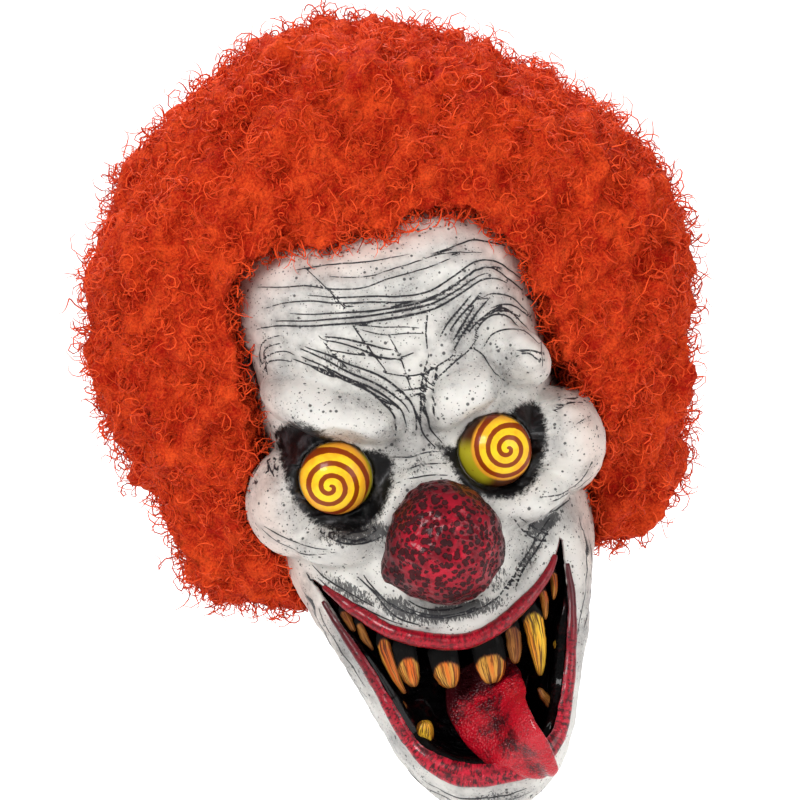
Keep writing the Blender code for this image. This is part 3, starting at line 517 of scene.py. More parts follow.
@contextmanager
def editing() -> Iterator[None]:
    """Edit mode on the active object, with all of it selected."""
    bpy.ops.object.mode_set(mode="EDIT")
    bpy.ops.mesh.select_all(action="SELECT")
    yield
    bpy.ops.object.mode_set(mode="OBJECT")


def apply_modifiers(item: Item) -> None:
    """Applies every modifier of an object in order."""
    pick(item)
    for name in [modifier.name for modifier in item.modifiers]:
        bpy.ops.object.modifier_apply(modifier=name)


def add_wall(item: Item, thickness: float) -> None:
    """Gives an outwards facing shell a wall on its inside."""
    wall = item.modifiers.new("wall", "SOLIDIFY")
    wall.thickness = thickness
    wall.offset = -1
    apply_modifiers(item)


def read(parts: bpy.types.bpy_prop_collection, name: str, width: int = 3) -> Array:
    """One value of every vertex or face of a mesh.

    Args:
        parts: the mesh's vertices or polygons.
        name: Blender's name of the value.
        width: how many numbers it has.

    Returns:
        (n, width) numbers.
    """
    found = np.empty(len(parts) * width, np.float32)
    parts.foreach_get(name, found)
    return found.reshape(-1, width)


def new_piece(name: str, points: Array, faces: Sequence[Sequence[int]]) -> Item:
    """A mesh object from arrays.

    Args:
        name: the piece's name.
        points: (n, 3) places in metres.
        faces: corner numbers of each face.

    Returns:
        The linked object, shaded smooth.
    """
    mesh = bpy.data.meshes.new(name)
    mesh.from_pydata(points.tolist(), [], faces)
    mesh.shade_smooth()
    item = bpy.data.objects.new(name, mesh)
    bpy.context.collection.objects.link(item)
    return item


def new_loft(name: str, rings: Array) -> Item:
    """A closed body through rings, with a fan at each end.

    Args:
        name: the piece's name.
        rings: (rows, sides, 3) places.

    Returns:
        The object, facing outwards.
    """
    rows, sides = rings.shape[:2]
    ends = np.stack([rings[0].mean(axis=0), rings[-1].mean(axis=0)])
    faces = ring_faces(rows, sides)
    first, last = rows * sides, rows * sides + 1
    for i in range(sides):
        j = (i + 1) % sides
        faces.append([first, i, j])
        faces.append([last, (rows - 1) * sides + j, (rows - 1) * sides + i])
    item = new_piece(name, np.concatenate([rings.reshape(-1, 3), ends]), faces)
    face_outwards(item)
    return item


def face_outwards(item: Item) -> None:
    """Merges doubles and turns every face of a closed body outwards."""
    pick(item)
    with editing():
        bpy.ops.mesh.remove_doubles(threshold=WELD)
    with editing():
        bpy.ops.mesh.normals_make_consistent(inside=False)


def set_field(item: Item, name: str, values: Array) -> None:
    """Stores one number a point as a named attribute, with zeros past the values' end.

    Args:
        item: the piece.
        name: the attribute's name.
        values: numbers of the first points.
    """
    padded = np.zeros(len(item.data.vertices), np.float32)
    values = np.asarray(values, np.float32).ravel()[: len(padded)]
    padded[: len(values)] = values
    attribute = item.data.attributes.new(name, "FLOAT", "POINT")
    attribute.data.foreach_set("value", padded)


def enrol(item: Item, material: Material, slot: str, *nodes: str) -> None:
    """Dresses a finished piece, ties it to the frame and reports it.

    Args:
        item: the piece.
        material: its finish.
        slot: not used.
        nodes: the solids that it stands for.
    """
    item.data.materials.clear()
    item.data.materials.append(material)
    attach(item, BODY)
    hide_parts(*nodes)
    LOG.info("%s: %d faces for %s", item.name, len(item.data.polygons), ", ".join(nodes))


class Finish:
    """A material under construction: it adds and links the nodes of one surface."""

    def __init__(self, name: str) -> None:
        """Starts a material with a plain Principled surface."""
        self.material = bpy.data.materials.new(name)
        self.material.use_nodes = True
        self.nodes = self.material.node_tree.nodes
        self.links = self.material.node_tree.links
        self.surface = self.nodes["Principled BSDF"]
        self.place = self.nodes.new("ShaderNodeTexCoord").outputs["Object"]

    def feed(self, node: bpy.types.Node, inputs: dict[str | int, object]) -> None:
        """Links a node's inputs, or sets them where the value is a number, a vector or a colour.

        Args:
            node: the node.
            inputs: values by input name or number, None for one that is left as it is.
        """
        for key, value in inputs.items():
            socket = node.inputs[key]
            if isinstance(value, Socket):
                self.links.new(value, socket)
            elif isinstance(value, tuple) and len(value) == 3 and socket.type == "RGBA":
                socket.default_value = (*value, 1.0)
            elif value is not None:
                socket.default_value = value

    def add(self, kind: str, inputs: dict[str | int, object], **settings: object) -> bpy.types.Node:
        """Adds a node.

        Args:
            kind: the end of Blender's name for it.
            inputs: values by input name or number.
            settings: its properties.

        Returns:
            The node.
        """
        node = self.nodes.new(f"ShaderNode{kind}")
        for name, value in settings.items():
            setattr(node, name, value)
        self.feed(node, inputs)
        return node

    def field(self, name: str, output: str = "Fac") -> Socket:
        """Reads a named attribute as a number, or as the output's kind."""
        return self.add("Attribute", {}, attribute_name=name).outputs[output]

    def channel(self, value: object, number: int, kind: str = "Color") -> Socket:
        """One channel of a colour, or of a place where the kind is XYZ."""
        return self.add(f"Separate{kind}", {0: value}).outputs[number]

    def stretch(self, scale: Triple, turn: Triple = (0, 0, 0), shift: Triple = (0, 0, 0)) -> Socket:
        """Object coordinates scaled, turned by Euler angles in radians and shifted in metres."""
        inputs = {"Vector": self.place, "Scale": scale, "Rotation": turn, "Location": shift}
        return self.add("Mapping", inputs).outputs[0]

    def vector(self, x: object, y: object, z: object = 0.0) -> Socket:
        """Joins three numbers into a vector."""
        return self.add("CombineXYZ", {0: x, 1: y, 2: z}).outputs[0]

    def noise(self, scale: float, detail: float = 3.0, rough: float = 0.6, at: object = None,
              warp: float = 0.0) -> Socket:
        """Cloudy noise from 0 to 1.

        Args:
            scale: lumps a metre.
            detail: octaves.
            rough: weight of the fine octaves.
            at: vector to read at, or None for Object coordinates.
            warp: distortion.

        Returns:
            The value socket.
        """
        inputs = {"Vector": at or self.place, "Scale": scale, "Detail": detail, "Roughness": rough}
        return self.add("TexNoise", {**inputs, "Distortion": warp}).outputs[0]

    def cells(self, scale: float, at: object = None) -> tuple[Socket, Socket]:
        """Distance from the nearest cell's middle and the cell's random colour, with scale cells a metre."""
        node = self.add("TexVoronoi", {"Vector": at or self.place, "Scale": scale})
        return node.outputs["Distance"], node.outputs["Color"]

    def math(self, operation: str, a: object, b: object = 0.0, clamp: bool = False) -> Socket:
        """One sum of two numbers."""
        return self.add("Math", {0: a, 1: b}, operation=operation, use_clamp=clamp).outputs[0]

    def times(self, a: object, b: object, clamp: bool = False) -> Socket:
        """Product of two numbers."""
        return self.math("MULTIPLY", a, b, clamp)

    def plus(self, a: object, b: object) -> Socket:
        """Sum of two numbers."""
        return self.math("ADD", a, b)

    def minus(self, a: object, b: object) -> Socket:
        """Difference of two numbers."""
        return self.math("SUBTRACT", a, b)

    def most(self, a: object, b: object, clamp: bool = False) -> Socket:
        """The larger of two numbers."""
        return self.math("MAXIMUM", a, b, clamp)

    def about(self, value: object, swing: float) -> Socket:
        """A value from 0 to 1 swung about 0."""
        return self.times(self.minus(value, 0.5), swing)

    def away(self, across: object, up: object) -> Socket:
        """Length of a flat offset."""
        return self.math("SQRT", self.plus(self.times(across, across), self.times(up, up)))

    def step(self, value: object, low: object, high: object) -> Socket:
        """Smooth step from 0 at low to 1 at high."""
        inputs = {"Value": value, "From Min": low, "From Max": high}
        return self.add("MapRange", inputs, interpolation_type="SMOOTHSTEP").outputs[0]

    def mix(self, share: object, a: object, b: object) -> Socket:
        """Mixes two colours."""
        return self.add("Mix", {0: share, 6: a, 7: b}, data_type="RGBA").outputs[2]

    def bump(self, height: object, strength: float, distance: float, under: object = None) -> Socket:
        """Relief from a height, with distance metres for a height of 1, over another relief."""
        inputs = {"Strength": strength, "Distance": distance, "Height": height, "Normal": under}
        return self.add("Bump", inputs).outputs[0]

    def close(self, colour: object, rough: object, normal: object = None, coat: float = 0.0,
              coat_rough: float = 0.03, shine: float = 0.5, **fixed: float) -> Material:
        """Ends the material.

        Args:
            colour: base colour.
            rough: roughness.
            normal: relief, or None.
            coat, coat_rough, shine: the clear coat, its roughness and the specular level.
            fixed: other surface sockets by name, with _ for a space.

        Returns:
            The finished material.
        """
        self.feed(self.surface, {"Base Color": colour, "Roughness": rough, "Normal": normal,
                                 "Coat Weight": coat, "Coat Roughness": coat_rough,
                                 "Specular IOR Level": shine})
        self.feed(self.surface, {name.replace("_", " "): value for name, value in fixed.items()})
        return self.material


@dataclass(frozen=True)
class PhotoView:
    """The photograph's viewpoint: turned a little, looking down, with the head tilted in the picture."""

    turn_deg: float = -3.0
    down_deg: float = 10.0
    roll_deg: float = 10.5
    metre_a_pixel: float = 0.00056
    distance: float = 2.5
    pixels: int = 800
    sensor_mm: float = 36.0
    eyes: Vector = field(default_factory=lambda: Vector((0.0, -0.105, -0.1478)))
    eyes_right_px: float = 22.5
    eyes_down_px: float = 69.5

    @property
    def back(self) -> Vector:
        """Unit vector from the mask towards the camera."""
        turn, down = math.radians(self.turn_deg), math.radians(self.down_deg)
        return Vector((math.sin(turn) * math.cos(down), -math.cos(turn) * math.cos(down), math.sin(down)))

    @property
    def level(self) -> Vector:
        """Unit vector to the right, level with the ground."""
        turn = math.radians(self.turn_deg)
        return Vector((math.cos(turn), math.sin(turn), 0.0))

    @property
    def rise(self) -> Vector:
        """Unit vector upwards across the view."""
        return self.back.cross(self.level)

    def flatten(self, points: Array) -> Array:
        """Millimetres right of and above the eyes' middle, as the photograph shows the upright face."""
        offset = points - np.array(self.eyes)
        return np.stack([offset @ np.array(self.level), offset @ np.array(self.rise)], -1) / MM

    def build(self) -> None:
        """Adds the camera and makes it the scene's."""
        roll = math.radians(self.roll_deg)
        right = math.cos(roll) * self.level - math.sin(roll) * self.rise
        up = math.sin(roll) * self.level + math.cos(roll) * self.rise
        step = self.metre_a_pixel
        aim = self.eyes - right * (self.eyes_right_px * step) + up * (self.eyes_down_px * step)
        data = bpy.data.cameras.new("photo_view")
        data.lens = self.sensor_mm * self.distance / (self.pixels * step)
        data.sensor_width = self.sensor_mm
        data.clip_end = 50.0
        camera = bpy.data.objects.new("photo_view", data)
        bpy.context.collection.objects.link(camera)
        turned = Matrix((right, up, self.back)).transposed().to_4x4()
        turned.translation = aim + self.back * self.distance
        camera.matrix_world = turned
        bpy.context.scene.camera = camera


@dataclass(frozen=True)
class HeadForm:
    """The latex head's outside as a smooth surface."""

    wall: float = 0.0022
    half_width: float = 0.092
    front: float = 0.098
    back: float = 0.100
    crown: float = 0.150
    chin: float = 0.205
    jaw_offset: float = 0.012
    rim_sweep: float = 2.4
    roundness: float = 2.5
    eye_radius: float = 0.0205
    eye_sites: tuple[Pair, ...] = ((-0.048, 0.002), (0.043, 0.000))
    socket_y: float = -0.092
    socket_reach: float = 0.012
    nose_x: float = 0.004
    nose_below: float = 0.040
    nose_half_width: float = 0.0325
    nose_half_height: float = 0.0355
    nose_seat_y: float = -0.104
    nose_overhang: float = 0.012

    @property
    def eye_z(self) -> float:
        """Height of the eye line."""
        return self.wall - self.crown

    @property
    def eye_places(self) -> list[Pair]:
        """(x, z) of the left and the right eye."""
        return [(x, self.eye_z + rise) for x, rise in self.eye_sites]

    @property
    def nose_place(self) -> Pair:
        """(x, z) of the nose."""
        return self.nose_x, self.eye_z - self.nose_below

    def level_z(self, level: Array) -> Array:
        """Height of a ring's level."""
        return self.eye_z + np.where(level > 0, level * self.crown, level * self.chin)

    def lump_reach(self, lump: Lump, start: Array, direction: Array) -> Array:
        """How far along each ray a lump's far side is, falling away beside it.

        Args:
            lump: the tilted ellipsoid.
            start, direction: the rays.

        Returns:
            Reaches in metres.
        """
        roll, turn = math.radians(lump.roll), math.radians(lump.turn)
        level = np.array([math.cos(turn), math.sin(turn), 0])
        along = level * math.cos(roll) + np.array([0, 0, math.sin(roll)])
        up = np.array([0, 0, math.cos(roll)]) - level * math.sin(roll)
        out = np.cross(along, up)
        middle = (lump.x * self.half_width, lump.y * self.front, self.eye_z + lump.z * self.crown)
        half_sizes = (lump.long * self.half_width, lump.deep * self.front, lump.thick * self.half_width)
        axes = np.stack([axis / size for axis, size in zip((along, out, up), half_sizes)])
        offset = (start - np.array(middle)) @ axes.T
        ray = direction @ axes.T
        square = (ray * ray).sum(-1)
        half = (offset * ray).sum(-1)
        rest = half * half - square * ((offset * offset).sum(-1) - 1)
        beside = np.sqrt(np.maximum(-rest, 0)) / square
        return (np.sqrt(np.maximum(rest, 0)) - half) / square - 2 * beside

    def press(self, points: Array) -> Array:
        """Cuts the forehead's folds and presses the seats of the eyes and the nose flat."""
        x, y, z = points[..., 0], points[..., 1], points[..., 2]
        facing = y < 0
        groove = np.zeros_like(x)
        for fold in FOLDS:
            across = (x / self.half_width - fold.x) / fold.half_length
            line = self.eye_z + self.crown * (fold.z + fold.sag * across * across)
            near = np.exp(-(((z - line) / (fold.width * self.crown)) ** 2))
            groove += fold.depth * self.wall * near * np.clip(1 - across * across, 0, 1)
        y = np.where(facing, y + groove, y)
        seats = [(place, self.eye_radius, self.eye_radius, self.socket_reach, self.socket_y)
                 for place in self.eye_places]
        seats.append((self.nose_place, self.nose_half_width, self.nose_half_height, self.nose_overhang,
                      self.nose_seat_y))
        for place, wide, high, reach, depth in seats:
            away = np.hypot((x - place[0]) / wide, (z - place[1]) / high) - 1
            weight = 1 - fade(away * min(wide, high) / reach, 0, 1)
            y = np.where(facing, y + (depth - y) * weight, y)
        return np.stack([x, y, z], -1)

    def points(self, angle: Array, place: Array) -> Array:
        """Points of the outside.

        Args:
            angle: radians from the face, towards +X.
            place: fractional rows of the ring table.

        Returns:
            Places in metres.
        """
        ring = Ring(*(smooth_at(column, place) for column in zip(*HEAD_RINGS)))
        half_width = ring.half_width * self.half_width
        front, back = ring.front * self.front, ring.back * self.back
        front_z, back_z = self.level_z(ring.front_z), self.level_z(ring.back_z)
        sine, cosine = np.sin(angle), -np.cos(angle)
        least = 1e-9
        depth = np.where(cosine < 0, front, back) + least
        wide = np.abs(sine / (half_width + least)) ** self.roundness
        reach = (wide + np.abs(cosine / depth) ** self.roundness) ** (-1 / self.roundness)
        share = np.clip((reach * cosine + front) / (front + back + least), 0, 1)
        z = front_z + (back_z - front_z) * (1 - (1 - share) ** self.rim_sweep)
        start = np.stack([ring.shift * self.jaw_offset, np.zeros_like(z), z], -1)
        direction = np.stack([sine, cosine, np.zeros_like(z)], -1)
        for lump in LUMPS:
            blend = lump.blend * self.front
            other = self.lump_reach(lump, start, direction)
            mix = np.clip(0.5 + 0.5 * (reach - other) / blend, 0, 1)
            reach = other + (reach - other) * mix + blend * mix * (1 - mix)
        return self.press(start + direction * reach[..., None])


@dataclass(frozen=True)
class MouthForm:
    """The mouth's cut and what follows it."""

    x: float = 0.0
    half_width: float = 0.0760
    corner_z: float = -0.1998
    height: float = 0.1280
    back_y: float = -0.060
    gum_reach: float = 0.0055
    most_inset: float = 0.18
    most_wall: float = 0.42
    upper_count: int = 61
    lower_count: int = 91

    def at(self, across: Array | float, drop: Array | float) -> tuple[Array | float, Array | float]:
        """Metres, x and z, of a place in the mouth's shares."""
        return self.x + across * self.half_width, self.corner_z - drop * self.height

    def path(self, table: Sequence[EdgePoint], count: int, trim: float = 0.0) -> Array:
        """Points along one edge.

        Args:
            table: the edge.
            count: how many points.
            trim: share left out at each end.

        Returns:
            (count, 2) places, x and z.
        """
        last = len(table) - 1
        place = np.linspace(trim * last, (1 - trim) * last, count)
        across, drop = (smooth_at(column, place) for column in zip(*table))
        return np.stack(self.at(across, drop), -1)

    def outline(self, upper: int = 0, lower: int = 0) -> Array:
        """The whole cut from its left corner, with other numbers of points where they are given."""
        below = self.path(LOWER_EDGE, lower or self.lower_count)
        return np.concatenate([self.path(UPPER_EDGE, upper or self.upper_count), below[1:-1]])

    def inward(self, outline: Array) -> Array:
        """Unit vectors into the outline, one a point."""
        along = unit(np.roll(outline, -1, axis=0) - np.roll(outline, 1, axis=0))
        return np.stack([along[:, 1], -along[:, 0]], -1)

    def room(self, outline: Array) -> Array:
        """How far each point, or one close beside it, sees across the outline."""
        inward = self.inward(outline)
        edge = np.roll(outline, -1, axis=0) - outline
        room = np.full(len(outline), self.height)
        for i, (point, way) in enumerate(zip(outline, inward)):
            cross = way[0] * edge[:, 1] - way[1] * edge[:, 0]
            cross = np.where(np.abs(cross) < TINY, TINY, cross)
            gap = outline - point
            far = (gap[:, 0] * edge[:, 1] - gap[:, 1] * edge[:, 0]) / cross
            share = (gap[:, 0] * way[1] - gap[:, 1] * way[0]) / cross
            met = (far > WELD) & (share >= 0) & (share <= 1)
            room[i] = min(room[i], far[met].min(initial=room[i]))
        for step in (1, 2, 4):
            room = np.minimum(room, np.minimum(np.roll(room, step), np.roll(room, -step)))
        return room

    def inset(self, outline: Array, distance: float, wall: float = 0.0, extra: float = 0.0) -> Array:
        """The outline moved inwards, and less where it is narrow.

        Args:
            outline: the closed outline.
            distance: how far, in metres.
            wall: a wall added to that.
            extra: moved everywhere, in full.

        Returns:
            The moved outline.
        """
        room = self.room(outline)
        move = np.minimum(distance, self.most_inset * room)
        if wall:
            move = np.minimum(move + wall, self.most_wall * room)
        return outline + self.inward(outline) * (move + extra)[:, None]


class Skin:
    """The finished latex surface without its holes, to rest other pieces on."""

    def __init__(self, rings: Array) -> None:
        """Builds the search tree from (rows, sides, 3) places, top to bottom."""
        rows, sides = rings.shape[:2]
        self.tree = BVHTree.FromPolygons([Vector(p) for p in rings.reshape(-1, 3)], ring_faces(rows, sides))

    def at(self, x: float, z: float) -> Vector:
        """The foremost point at a place of the face."""
        hit = self.tree.ray_cast(Vector((x, -1, z)), Vector((0, 1, 0)))[0]
        return hit or self.tree.find_nearest(Vector((x, -0.1, z)))[0]

    def nearest(self, point: Array) -> tuple[Vector, Vector, float]:
        """The nearest place of the skin, its normal and the point's height over it."""
        place, normal, _, _ = self.tree.find_nearest(Vector(point))
        return place, normal, (Vector(point) - place).dot(normal)

    def height(self, points: Array) -> Array:
        """Signed distance of points to the skin, above 0 outside."""
        found = [self.nearest(point)[2] for point in points.reshape(-1, 3)]
        return np.array(found).reshape(points.shape[:-1])

    def rest(self, points: Array, gap: float) -> Array:
        """Lifts points that are in or too near the skin until they lie a gap over it.

        Args:
            points: places of any shape (..., 3).
            gap: metres.

        Returns:
            The moved places.
        """
        moved = points.reshape(-1, 3).copy()
        for i, point in enumerate(moved):
            place, normal, height = self.nearest(point)
            if height < gap:
                moved[i] = place + normal * gap
        return moved.reshape(points.shape)


@dataclass(frozen=True)
class LatexFinish:
    """White latex with brushed black creases, grey patches of dry-brushed paint and painted shade, grey
    halos of airbrush and painted shade along the creases, spatter and black eye sockets.
    """

    white: Colour = srgb(217, 214, 208)
    shade: Colour = srgb(150, 148, 146)
    blush: Colour = srgb(226, 188, 172)
    ink: Colour = srgb(32, 31, 35)
    soot: Colour = srgb(10, 9, 10)
    smoke: Colour = srgb(62, 60, 62)
    spatter_cells: float = 290.0
    speck_cells: float = 700.0

    def spots(self, f: Finish, cells: float, channel: int, power: float, size: float) -> Socket:
        """Round dots, one a cell, most of them small.

        Args:
            f: the material being built.
            cells: dots a metre.
            channel: which random number of a cell sizes its dot.
            power: how rare large dots are.
            size: the largest radius, as a share of a cell.

        Returns:
            1 on a dot, 0 beside it.
        """
        away, lot = f.cells(cells)
        radius = f.times(f.math("POWER", f.channel(lot, channel), power), size)
        return f.step(away, radius, f.times(radius, 0.6))

    def make(self) -> Material:
        """Builds the material."""
        f = Finish("latex_paint")
        cloud = f.noise(28.0, 4.0, 0.6)
        base = f.mix(f.step(cloud, 0.38, 0.80), self.white, self.shade)
        grime = f.times(f.step(f.noise(420.0, 4.0, 0.75), 0.50, 0.66), f.step(cloud, 0.44, 0.62))
        base = f.mix(f.times(grime, 0.40), base, self.ink)
        base = f.mix(f.times(f.field("blush"), 0.40), base, self.blush)
        # Grey halo beside the creases: airbrushed grey, and painted shade in the creases.
        halo = f.times(f.field("halo"), f.step(f.noise(160.0), 0.25, 0.75), True)
        base = f.mix(f.times(halo, 0.50), base, self.ink)
        bristle = f.noise(260.0, 3.0, 0.65)
        upright = f.noise(1.0, 3.0, 0.65, f.stretch((900.0, 500.0, 330.0), (0.0, 0.35, 0.0)))
        # Grey patches, partly grey paint and partly painted shade, broken into upright scrubbed strokes.
        wash_and_shade = f.field("wash_and_shade")
        strokes = f.plus(f.times(wash_and_shade, 0.62), f.times(upright, 0.75))
        scrub_and_shade = f.step(strokes, 0.70, 0.80)
        width = f.times(f.field("ink_width"), f.plus(f.times(bristle, 1.1), 0.45))
        side = f.math("ABSOLUTE", f.field("ink_side"))
        line = f.step(side, f.plus(width, 0.15), f.times(width, 0.50))
        near = f.step(f.field("ink_away"), f.plus(width, 0.52), f.plus(width, 0.25))
        dry = f.step(f.noise(700.0, 2.0, 0.6), 0.30, 0.42)
        line = f.times(f.times(line, near), f.plus(f.times(dry, 0.45), 0.55))
        patchy = f.step(f.noise(34.0), 0.34, 0.56)
        specks = f.times(self.spots(f, self.speck_cells, 1, 1.6, 0.43), patchy)
        spots = f.most(self.spots(f, self.spatter_cells, 0, 1.9, 0.38), specks)
        marks = f.most(line, f.times(scrub_and_shade, 0.86), True)
        marks = f.times(f.most(marks, f.times(spots, 0.85)), f.field("outer"))
        colour = f.mix(marks, base, self.ink)
        edge = f.plus(f.field("socket"), f.about(f.noise(300.0, 4.0, 0.8), 12.0))
        black = f.step(edge, 2.6, -1.4)
        sooty = f.mix(f.step(f.noise(110.0, 4.0, 0.7), 0.46, 0.70), self.soot, self.smoke)
        colour = f.mix(black, colour, sooty)
        rough = f.plus(f.times(black, -0.06), 0.46)
        pits = f.bump(f.noise(900.0), 0.10, 0.0006)
        cut = f.bump(f.minus(1.0, f.times(marks, 0.8)), 0.30, 0.0005, pits)
        swell = f.bump(f.noise(170.0, 3.0, 0.5), 0.22, 0.0012, cut)
        return f.close(colour, rough, swell, coat=0.04, coat_rough=0.30, shine=0.22,
                       Subsurface_Weight=0.05, Subsurface_Scale=0.003)


@dataclass
class LatexSkin:
    """The overhead latex skin with brushed creases, open at the neck, eyes, nose and mouth."""

    form: HeadForm
    mouth: MouthForm
    view: PhotoView
    fine_edge_deg: float = 50.0
    fine_step_deg: float = 1.0
    side_edge_deg: float = 102.0
    side_steps: int = 20
    nape_steps: int = 20
    crown_rows: int = 9
    face_rows: int = 206
    hole_gap: float = 0.0006
    eye_seat_y: float = -0.0885
    nose_hole: float = 0.60
    hole_points: int = 96
    hole_search: float = 0.12
    hole_slide: float = 0.002
    least_slope: float = -0.3
    front_y: float = -0.024
    pole_place: float = 0.02
    painted_y: Pair = (-0.010, -0.030)
    blush_reach: float = 0.011
    strand_pitch: float = 3.3
    strand_sway: float = 0.9
    strand_seed: int = 5
    brush_reach: float = 14.0
    swells: tuple[Wave, ...] = (Wave(0.0006, 0.020, 3), Wave(0.0003, 0.008, 4))
    ridge_height: float = 0.0018
    ridge_above_lip: float = 0.0085
    ridge_reach: float = 0.0036
    finish: LatexFinish = LatexFinish()

    def grid(self) -> Array:
        """Rings of the plain surface, finest over the face."""
        half = np.arange(0, self.fine_edge_deg + 0.01, self.fine_step_deg)
        side = np.linspace(self.fine_edge_deg, self.side_edge_deg, self.side_steps + 1)[1:]
        half = np.concatenate([half, side])
        nape = np.linspace(self.side_edge_deg, 360 - self.side_edge_deg, self.nape_steps + 1)[1:-1]
        angles = np.radians(np.concatenate([-half[:0:-1], half, nape]))
        crown = np.linspace(0, 3, self.crown_rows + 1)[:-1]
        places = np.concatenate([crown, np.linspace(3, len(HEAD_RINGS) - 1, self.face_rows)])
        places[0] = self.pole_place
        return self.form.points(*np.meshgrid(angles, places))

    def strands(self) -> list[tuple[Stroke, int, Array]]:
        """Every brush strand as its stroke, the side it counts as left and a smooth line in millimetres."""
        picks = np.random.default_rng(self.strand_seed)
        found = []
        for stroke in STROKES:
            count = 4 * len(stroke.points)
            line = smooth_points(stroke.points, count)
            along = np.gradient(line, axis=0)
            across = unit(np.stack([-along[:, 1], along[:, 0]], -1))
            for strand in range(stroke.strands):
                apart = (strand - 0.5 * (stroke.strands - 1)) * self.strand_pitch
                sway = np.sin(np.linspace(0, picks.uniform(3, 7), count) + picks.uniform(0, 6.3))
                first = int(picks.uniform(0, 0.25) * count) if strand else 0
                last = count - (int(picks.uniform(0, 0.3) * count) if strand else 0)
                moved = line + across * (apart + self.strand_sway * sway * (stroke.strands > 1))[:, None]
                found.append((stroke, 1 - 2 * (strand % 2), moved[first:last]))
        return found

    def brushwork(self, flat: Array) -> dict[str, Array]:
        """Distances to the brushed lines, the grey halo beside them of airbrush and painted shade, and the
        depth of their grooves.

        Args:
            flat: (n, 2) places on the face in millimetres.

        Returns:
            Named values for each place.
        """
        starts = {"ink_side": NO_INK_MM, "ink_away": NO_INK_MM, "ink_width": 0.0, "halo": 0.0, "groove": 0.0}
        lines = {name: np.full(len(flat), start) for name, start in starts.items()}
        best = np.full(len(flat), FAR)
        for stroke, flip, line in self.strands():
            low, high = line.min(axis=0) - self.brush_reach, line.max(axis=0) + self.brush_reach
            near = np.flatnonzero(((flat > low) & (flat < high)).all(axis=1))
            away, side, along, _ = path_distance(flat[near], line)
            width = stroke.width * (0.30 + 0.70 * np.sqrt(np.clip(np.sin(math.pi * along), 0, 1)))
            closer = away - width < best[near]
            chosen = near[closer]
            best[chosen] = (away - width)[closer]
            lines["ink_side"][chosen] = (away * side * flip)[closer]
            lines["ink_away"][chosen] = away[closer]
            lines["ink_width"][chosen] = width[closer]
            # Soft grey halo along each stroke: airbrushed grey and painted shade in the crease.
            smudge_and_shade = min(1.0, 0.45 + 0.2 * stroke.strands)
            soft = smudge_and_shade * np.exp(-((away / (2.2 + 1.6 * stroke.width)) ** 2))
            lines["halo"][near] = np.maximum(lines["halo"][near], soft)
            deep = stroke.depth * MM * np.exp(-((away / (1.0 + stroke.width)) ** 2)) * (width / stroke.width)
            lines["groove"][near] = np.maximum(lines["groove"][near], deep)
        return lines

    def washes_and_shade(self, flat: Array) -> Array:
        """Strength of the grey patches, grey paint and painted shade, at each place."""
        total = np.zeros(len(flat))
        for wash_and_shade in WASHES_AND_SHADE:
            tilt = math.radians(wash_and_shade.tilt)
            offset = flat - np.array([wash_and_shade.x, wash_and_shade.z])
            along = (offset[:, 0] * math.cos(tilt) + offset[:, 1] * math.sin(tilt)) / wash_and_shade.wide
            across = (offset[:, 1] * math.cos(tilt) - offset[:, 0] * math.sin(tilt)) / wash_and_shade.high
            total = np.maximum(total, wash_and_shade.strength * np.exp(-((along * along + across * across) ** 1.5)))
        return total

    def relief(self, rings: Array, groove: Array, facing: Array) -> Array:
        """Sinks the brushed creases, raises the ridge over the upper lip and lets the latex swell a little.

        Args:
            rings: the plain surface.
            groove: depth of the creases at each point, in metres.
            facing: 1 on the face, 0 behind.

        Returns:
            The shaped surface.
        """
        shape = rings.shape[:2]
        points = rings.reshape(-1, 3)
        path = self.mouth.path(UPPER_EDGE, self.mouth.upper_count)
        away, side, along, _ = path_distance(points[:, ::2], path)
        over = np.exp(-(((away - self.ridge_above_lip) / self.ridge_reach) ** 2)) * (side > 0)
        rise = self.ridge_height * over * np.sqrt(np.clip(np.sin(math.pi * along), 0, 1))
        rise = (rise + ripple(points, *self.swells) - groove) * facing
        return rings + grid_normals(rings) * rise.reshape(shape)[..., None]

    def holes(self) -> list[Array]:
        """(x, z) outlines of the eye, nose and mouth openings."""
        turn = full_turn(self.hole_points)
        circle = np.stack([np.cos(turn), np.sin(turn)], -1)
        found = [np.array(place) + circle * (self.form.eye_radius + self.hole_gap)
                 for place in self.form.eye_places]
        size = self.nose_hole * np.array([self.form.nose_half_width, self.form.nose_half_height])
        return [*found, np.array(self.form.nose_place) + circle * size, self.mouth.outline()]

    def cut_holes(self, rings: Array, faces: Array) -> tuple[Array, Array]:
        """Opens the holes and draws their edges onto the outlines.

        Args:
            rings: the shaped surface.
            faces: quads over it.

        Returns:
            The moved points and the faces that stay.
        """
        points = rings.reshape(-1, 3).copy()
        normals = grid_normals(rings).reshape(-1, 3)
        for number, outline in enumerate(self.holes()):
            near = np.abs(points[:, ::2] - outline.mean(axis=0)).max(axis=1) < self.hole_search
            chosen = np.flatnonzero((points[:, 1] < self.front_y) & near)
            away = np.ones(len(points))
            away[chosen] = outline_distance(points[chosen][:, ::2], outline)
            inside = away < 0
            faces = faces[~inside[faces].all(axis=1)]
            mixed = faces[inside[faces].any(axis=1)]
            edge = np.unique(mixed[inside[mixed]])
            place = path_distance(points[edge][:, ::2], closed(outline))[3]
            move = place - points[edge][:, ::2]
            slope = normals[edge]
            fall = -(slope[:, ::2] * move).sum(axis=1) / np.minimum(slope[:, 1], self.least_slope)
            points[edge, ::2] = place
            points[edge, 1] += np.clip(fall, -self.hole_slide, self.hole_slide)
            if number < len(Side):
                points[edge, 1] = np.maximum(points[edge, 1], self.eye_seat_y)
        return points, faces

